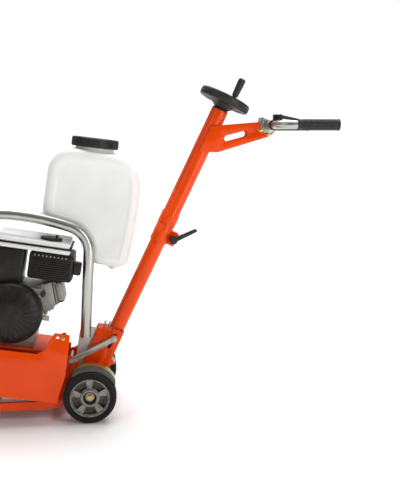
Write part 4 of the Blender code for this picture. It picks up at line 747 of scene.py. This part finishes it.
springs = []
for x, z in ((45.0, 262.0), (58.5, 260.0)):
    springs.append(moved(spring(21.0, 4), (x, -12.0, z), 12.0))
    springs.append(moved(turned([(0.0, -4.0), (1.0, -4.0), (1.0, 22.0), (0.0, 22.0)], "Z", 12), (x, -12.0, z), 12.0))
settle(put(gather(*springs), GROUND), "lid_springs", "carriage", PLATED)
nut = moved(bolt(4.2, -132.0, -137.0), (-104.0, 0.0, 248.0))
settle(put(nut, CHASSIS), "ear_bolt", "chassis", YELLOW_ZINC)
stop = turned([(0.0, -114.0), (6.0, -114.0), (8.0, -116.0), (8.6, -120.0), (8.6, -125.8), (0.0, -125.8)], "Y", 32)
settle(put(moved(stop, (-103.0, 0.0, 255.0)), CHASSIS), "ear_stop", "chassis", PLASTIC)
flange = block((-32.0, -21.8, 253.0), (-10.0, -8.0, 262.0), 1.5)
settle(put(flange, CHASSIS), "arch_plate_flange", "chassis", SHROUD)
print("small parts: springs", len(springs) // 2, "with their pins, ear bolt, ear stop, flange")

# %% [markdown]
# ## Milling drum
# The drum is a stack of star-shaped cutters on the shaft. One star is a disc whose rim faces are picked in
# turn and pulled out into teeth; the others are made the same way, each turned a little further.

# %% Milling drum
def cutter(y, turn):
    disc = turned([(12.8, -5.0), (50.0, -5.0), (50.0, 5.0), (12.8, 5.0)], "Y", 36)
    rim = [f for f in disc.faces if math.hypot(f.calc_center_median().x, f.calc_center_median().z) > 49.0]
    rim.sort(key=lambda f: math.atan2(f.calc_center_median().z, f.calc_center_median().x))
    bmesh.ops.inset_individual(disc, faces=rim[::3], thickness=1.2, depth=11.0, use_even_offset=True)
    return moved(disc, (0.0, y, 0.0), turn)


DRUM = CHASSIS @ Matrix.Translation((-300.0, 0.0, 65.0))
STARS = 13
stars = [cutter(-72.0 + 12.0 * k, 13.0 * k) for k in range(STARS)]
settle(put(gather(*stars), DRUM), "drum_cutters", "drum_assembly", STEEL, ("drum",), 30.0)
print("cutters:", STARS)

# %% [markdown]
# ## Floor
# The floor is one large pale sheet, half a millimetre under the wheels so that they never flicker through it.

# %% Floor
FLOOR_DROP = Matrix.Translation((0.0, 0.0, -0.0005))
bm = bmesh.new()
bmesh.ops.create_grid(bm, x_segments=1, y_segments=1, size=30.0, matrix=FLOOR_DROP)
mesh = bpy.data.meshes.new("floor")
bm.to_mesh(mesh)
bm.free()
floor = bpy.data.objects.new("floor", mesh)
bpy.context.scene.collection.objects.link(floor)
mesh.materials.append(finish("floor", (0.90, 0.90, 0.90), (0.90, 0.90, 0.90), 0.6, grain=50.0, bump=0.0))
print("floor laid just under the wheels")

# %% [markdown]
# ## Light
# A world that is brighter overhead makes the soft studio. A wide sun overhead gives the soft shadow under the
# machine, a tall strip on the right draws the streak along the column, and a weak lamp fills the left. The
# camera sees a plain white backdrop instead of the graded world, which the light-path node allows.

# %% Light
world = bpy.data.worlds.new("studio")
world.use_nodes = True
tree = world.node_tree
sky = tree.nodes["Background"]
sky.inputs["Color"].default_value = (1.0, 1.0, 1.0, 1.0)
facing = tree.nodes.new("ShaderNodeTexCoord")
upward = tree.nodes.new("ShaderNodeVectorMath")
upward.operation = "DOT_PRODUCT"
upward.inputs[1].default_value = (0.0, 0.5, 0.866)
fade = tree.nodes.new("ShaderNodeMapRange")
fade.inputs["From Min"].default_value = -0.1
fade.inputs["From Max"].default_value = 0.9
fade.inputs["To Min"].default_value = 0.10
fade.inputs["To Max"].default_value = 0.65
tree.links.new(facing.outputs["Generated"], upward.inputs[0])
tree.links.new(upward.outputs["Value"], fade.inputs["Value"])
tree.links.new(fade.outputs["Result"], sky.inputs["Strength"])
backdrop = tree.nodes.new("ShaderNodeBackground")
backdrop.inputs["Color"].default_value = (1.0, 1.0, 1.0, 1.0)
backdrop.inputs["Strength"].default_value = 1.05
seen = tree.nodes.new("ShaderNodeLightPath")
choice = tree.nodes.new("ShaderNodeMixShader")
tree.links.new(seen.outputs["Is Camera Ray"], choice.inputs["Fac"])
tree.links.new(sky.outputs["Background"], choice.inputs[1])
tree.links.new(backdrop.outputs["Background"], choice.inputs[2])
tree.links.new(choice.outputs["Shader"], tree.nodes["World Output"].inputs["Surface"])
bpy.context.scene.world = world
bpy.context.scene.view_settings.view_transform = "Standard"


def lamp(name, kind, spot, target, energy, size=(1.0, 1.0)):
    """A lamp of a kind at a spot, aimed at a target."""
    data = bpy.data.lights.new(name, kind)
    if kind == "AREA":
        data.shape = "RECTANGLE"
        data.size, data.size_y = size
    else:
        data.angle = math.radians(50.0)
    data.energy = energy
    item = bpy.data.objects.new(name, data)
    item.location = spot
    item.rotation_euler = (Vector(target) - Vector(spot)).to_track_quat("-Z", "Y").to_euler()
    bpy.context.scene.collection.objects.link(item)


lamp("overhead", "SUN", (0.3, 1.2, 3.2), (0.0, 0.0, 0.0), 2.9)
lamp("strip", "AREA", (2.1, -2.3, 1.3), (0.0, 0.0, 0.6), 40.0, (0.8, 2.8))
lamp("fill", "AREA", (-2.4, -2.4, 2.6), (0.0, 0.0, 0.5), 12.0, (1.6, 1.6))
print("lamps: overhead sun, strip on the right, weak fill")

# %% [markdown]
# ## Camera
# The camera stands on the machine's left, a little above the tank. It looks slightly down and is turned a little
# towards the handle. Its place is counted from the rear axle.

# %% Camera
camera_data = bpy.data.cameras.new("camera")
camera_data.lens = 50.4
camera_data.sensor_width = 36.0
camera = bpy.data.objects.new("camera", camera_data)
camera.location = (axle_x + 0.0919, -2.1772, 0.870)
camera.rotation_euler = (math.radians(80.43), 0.0, math.radians(-6.8))
bpy.context.scene.collection.objects.link(camera)
bpy.context.scene.camera = camera
print("camera lens", camera_data.lens, "mm")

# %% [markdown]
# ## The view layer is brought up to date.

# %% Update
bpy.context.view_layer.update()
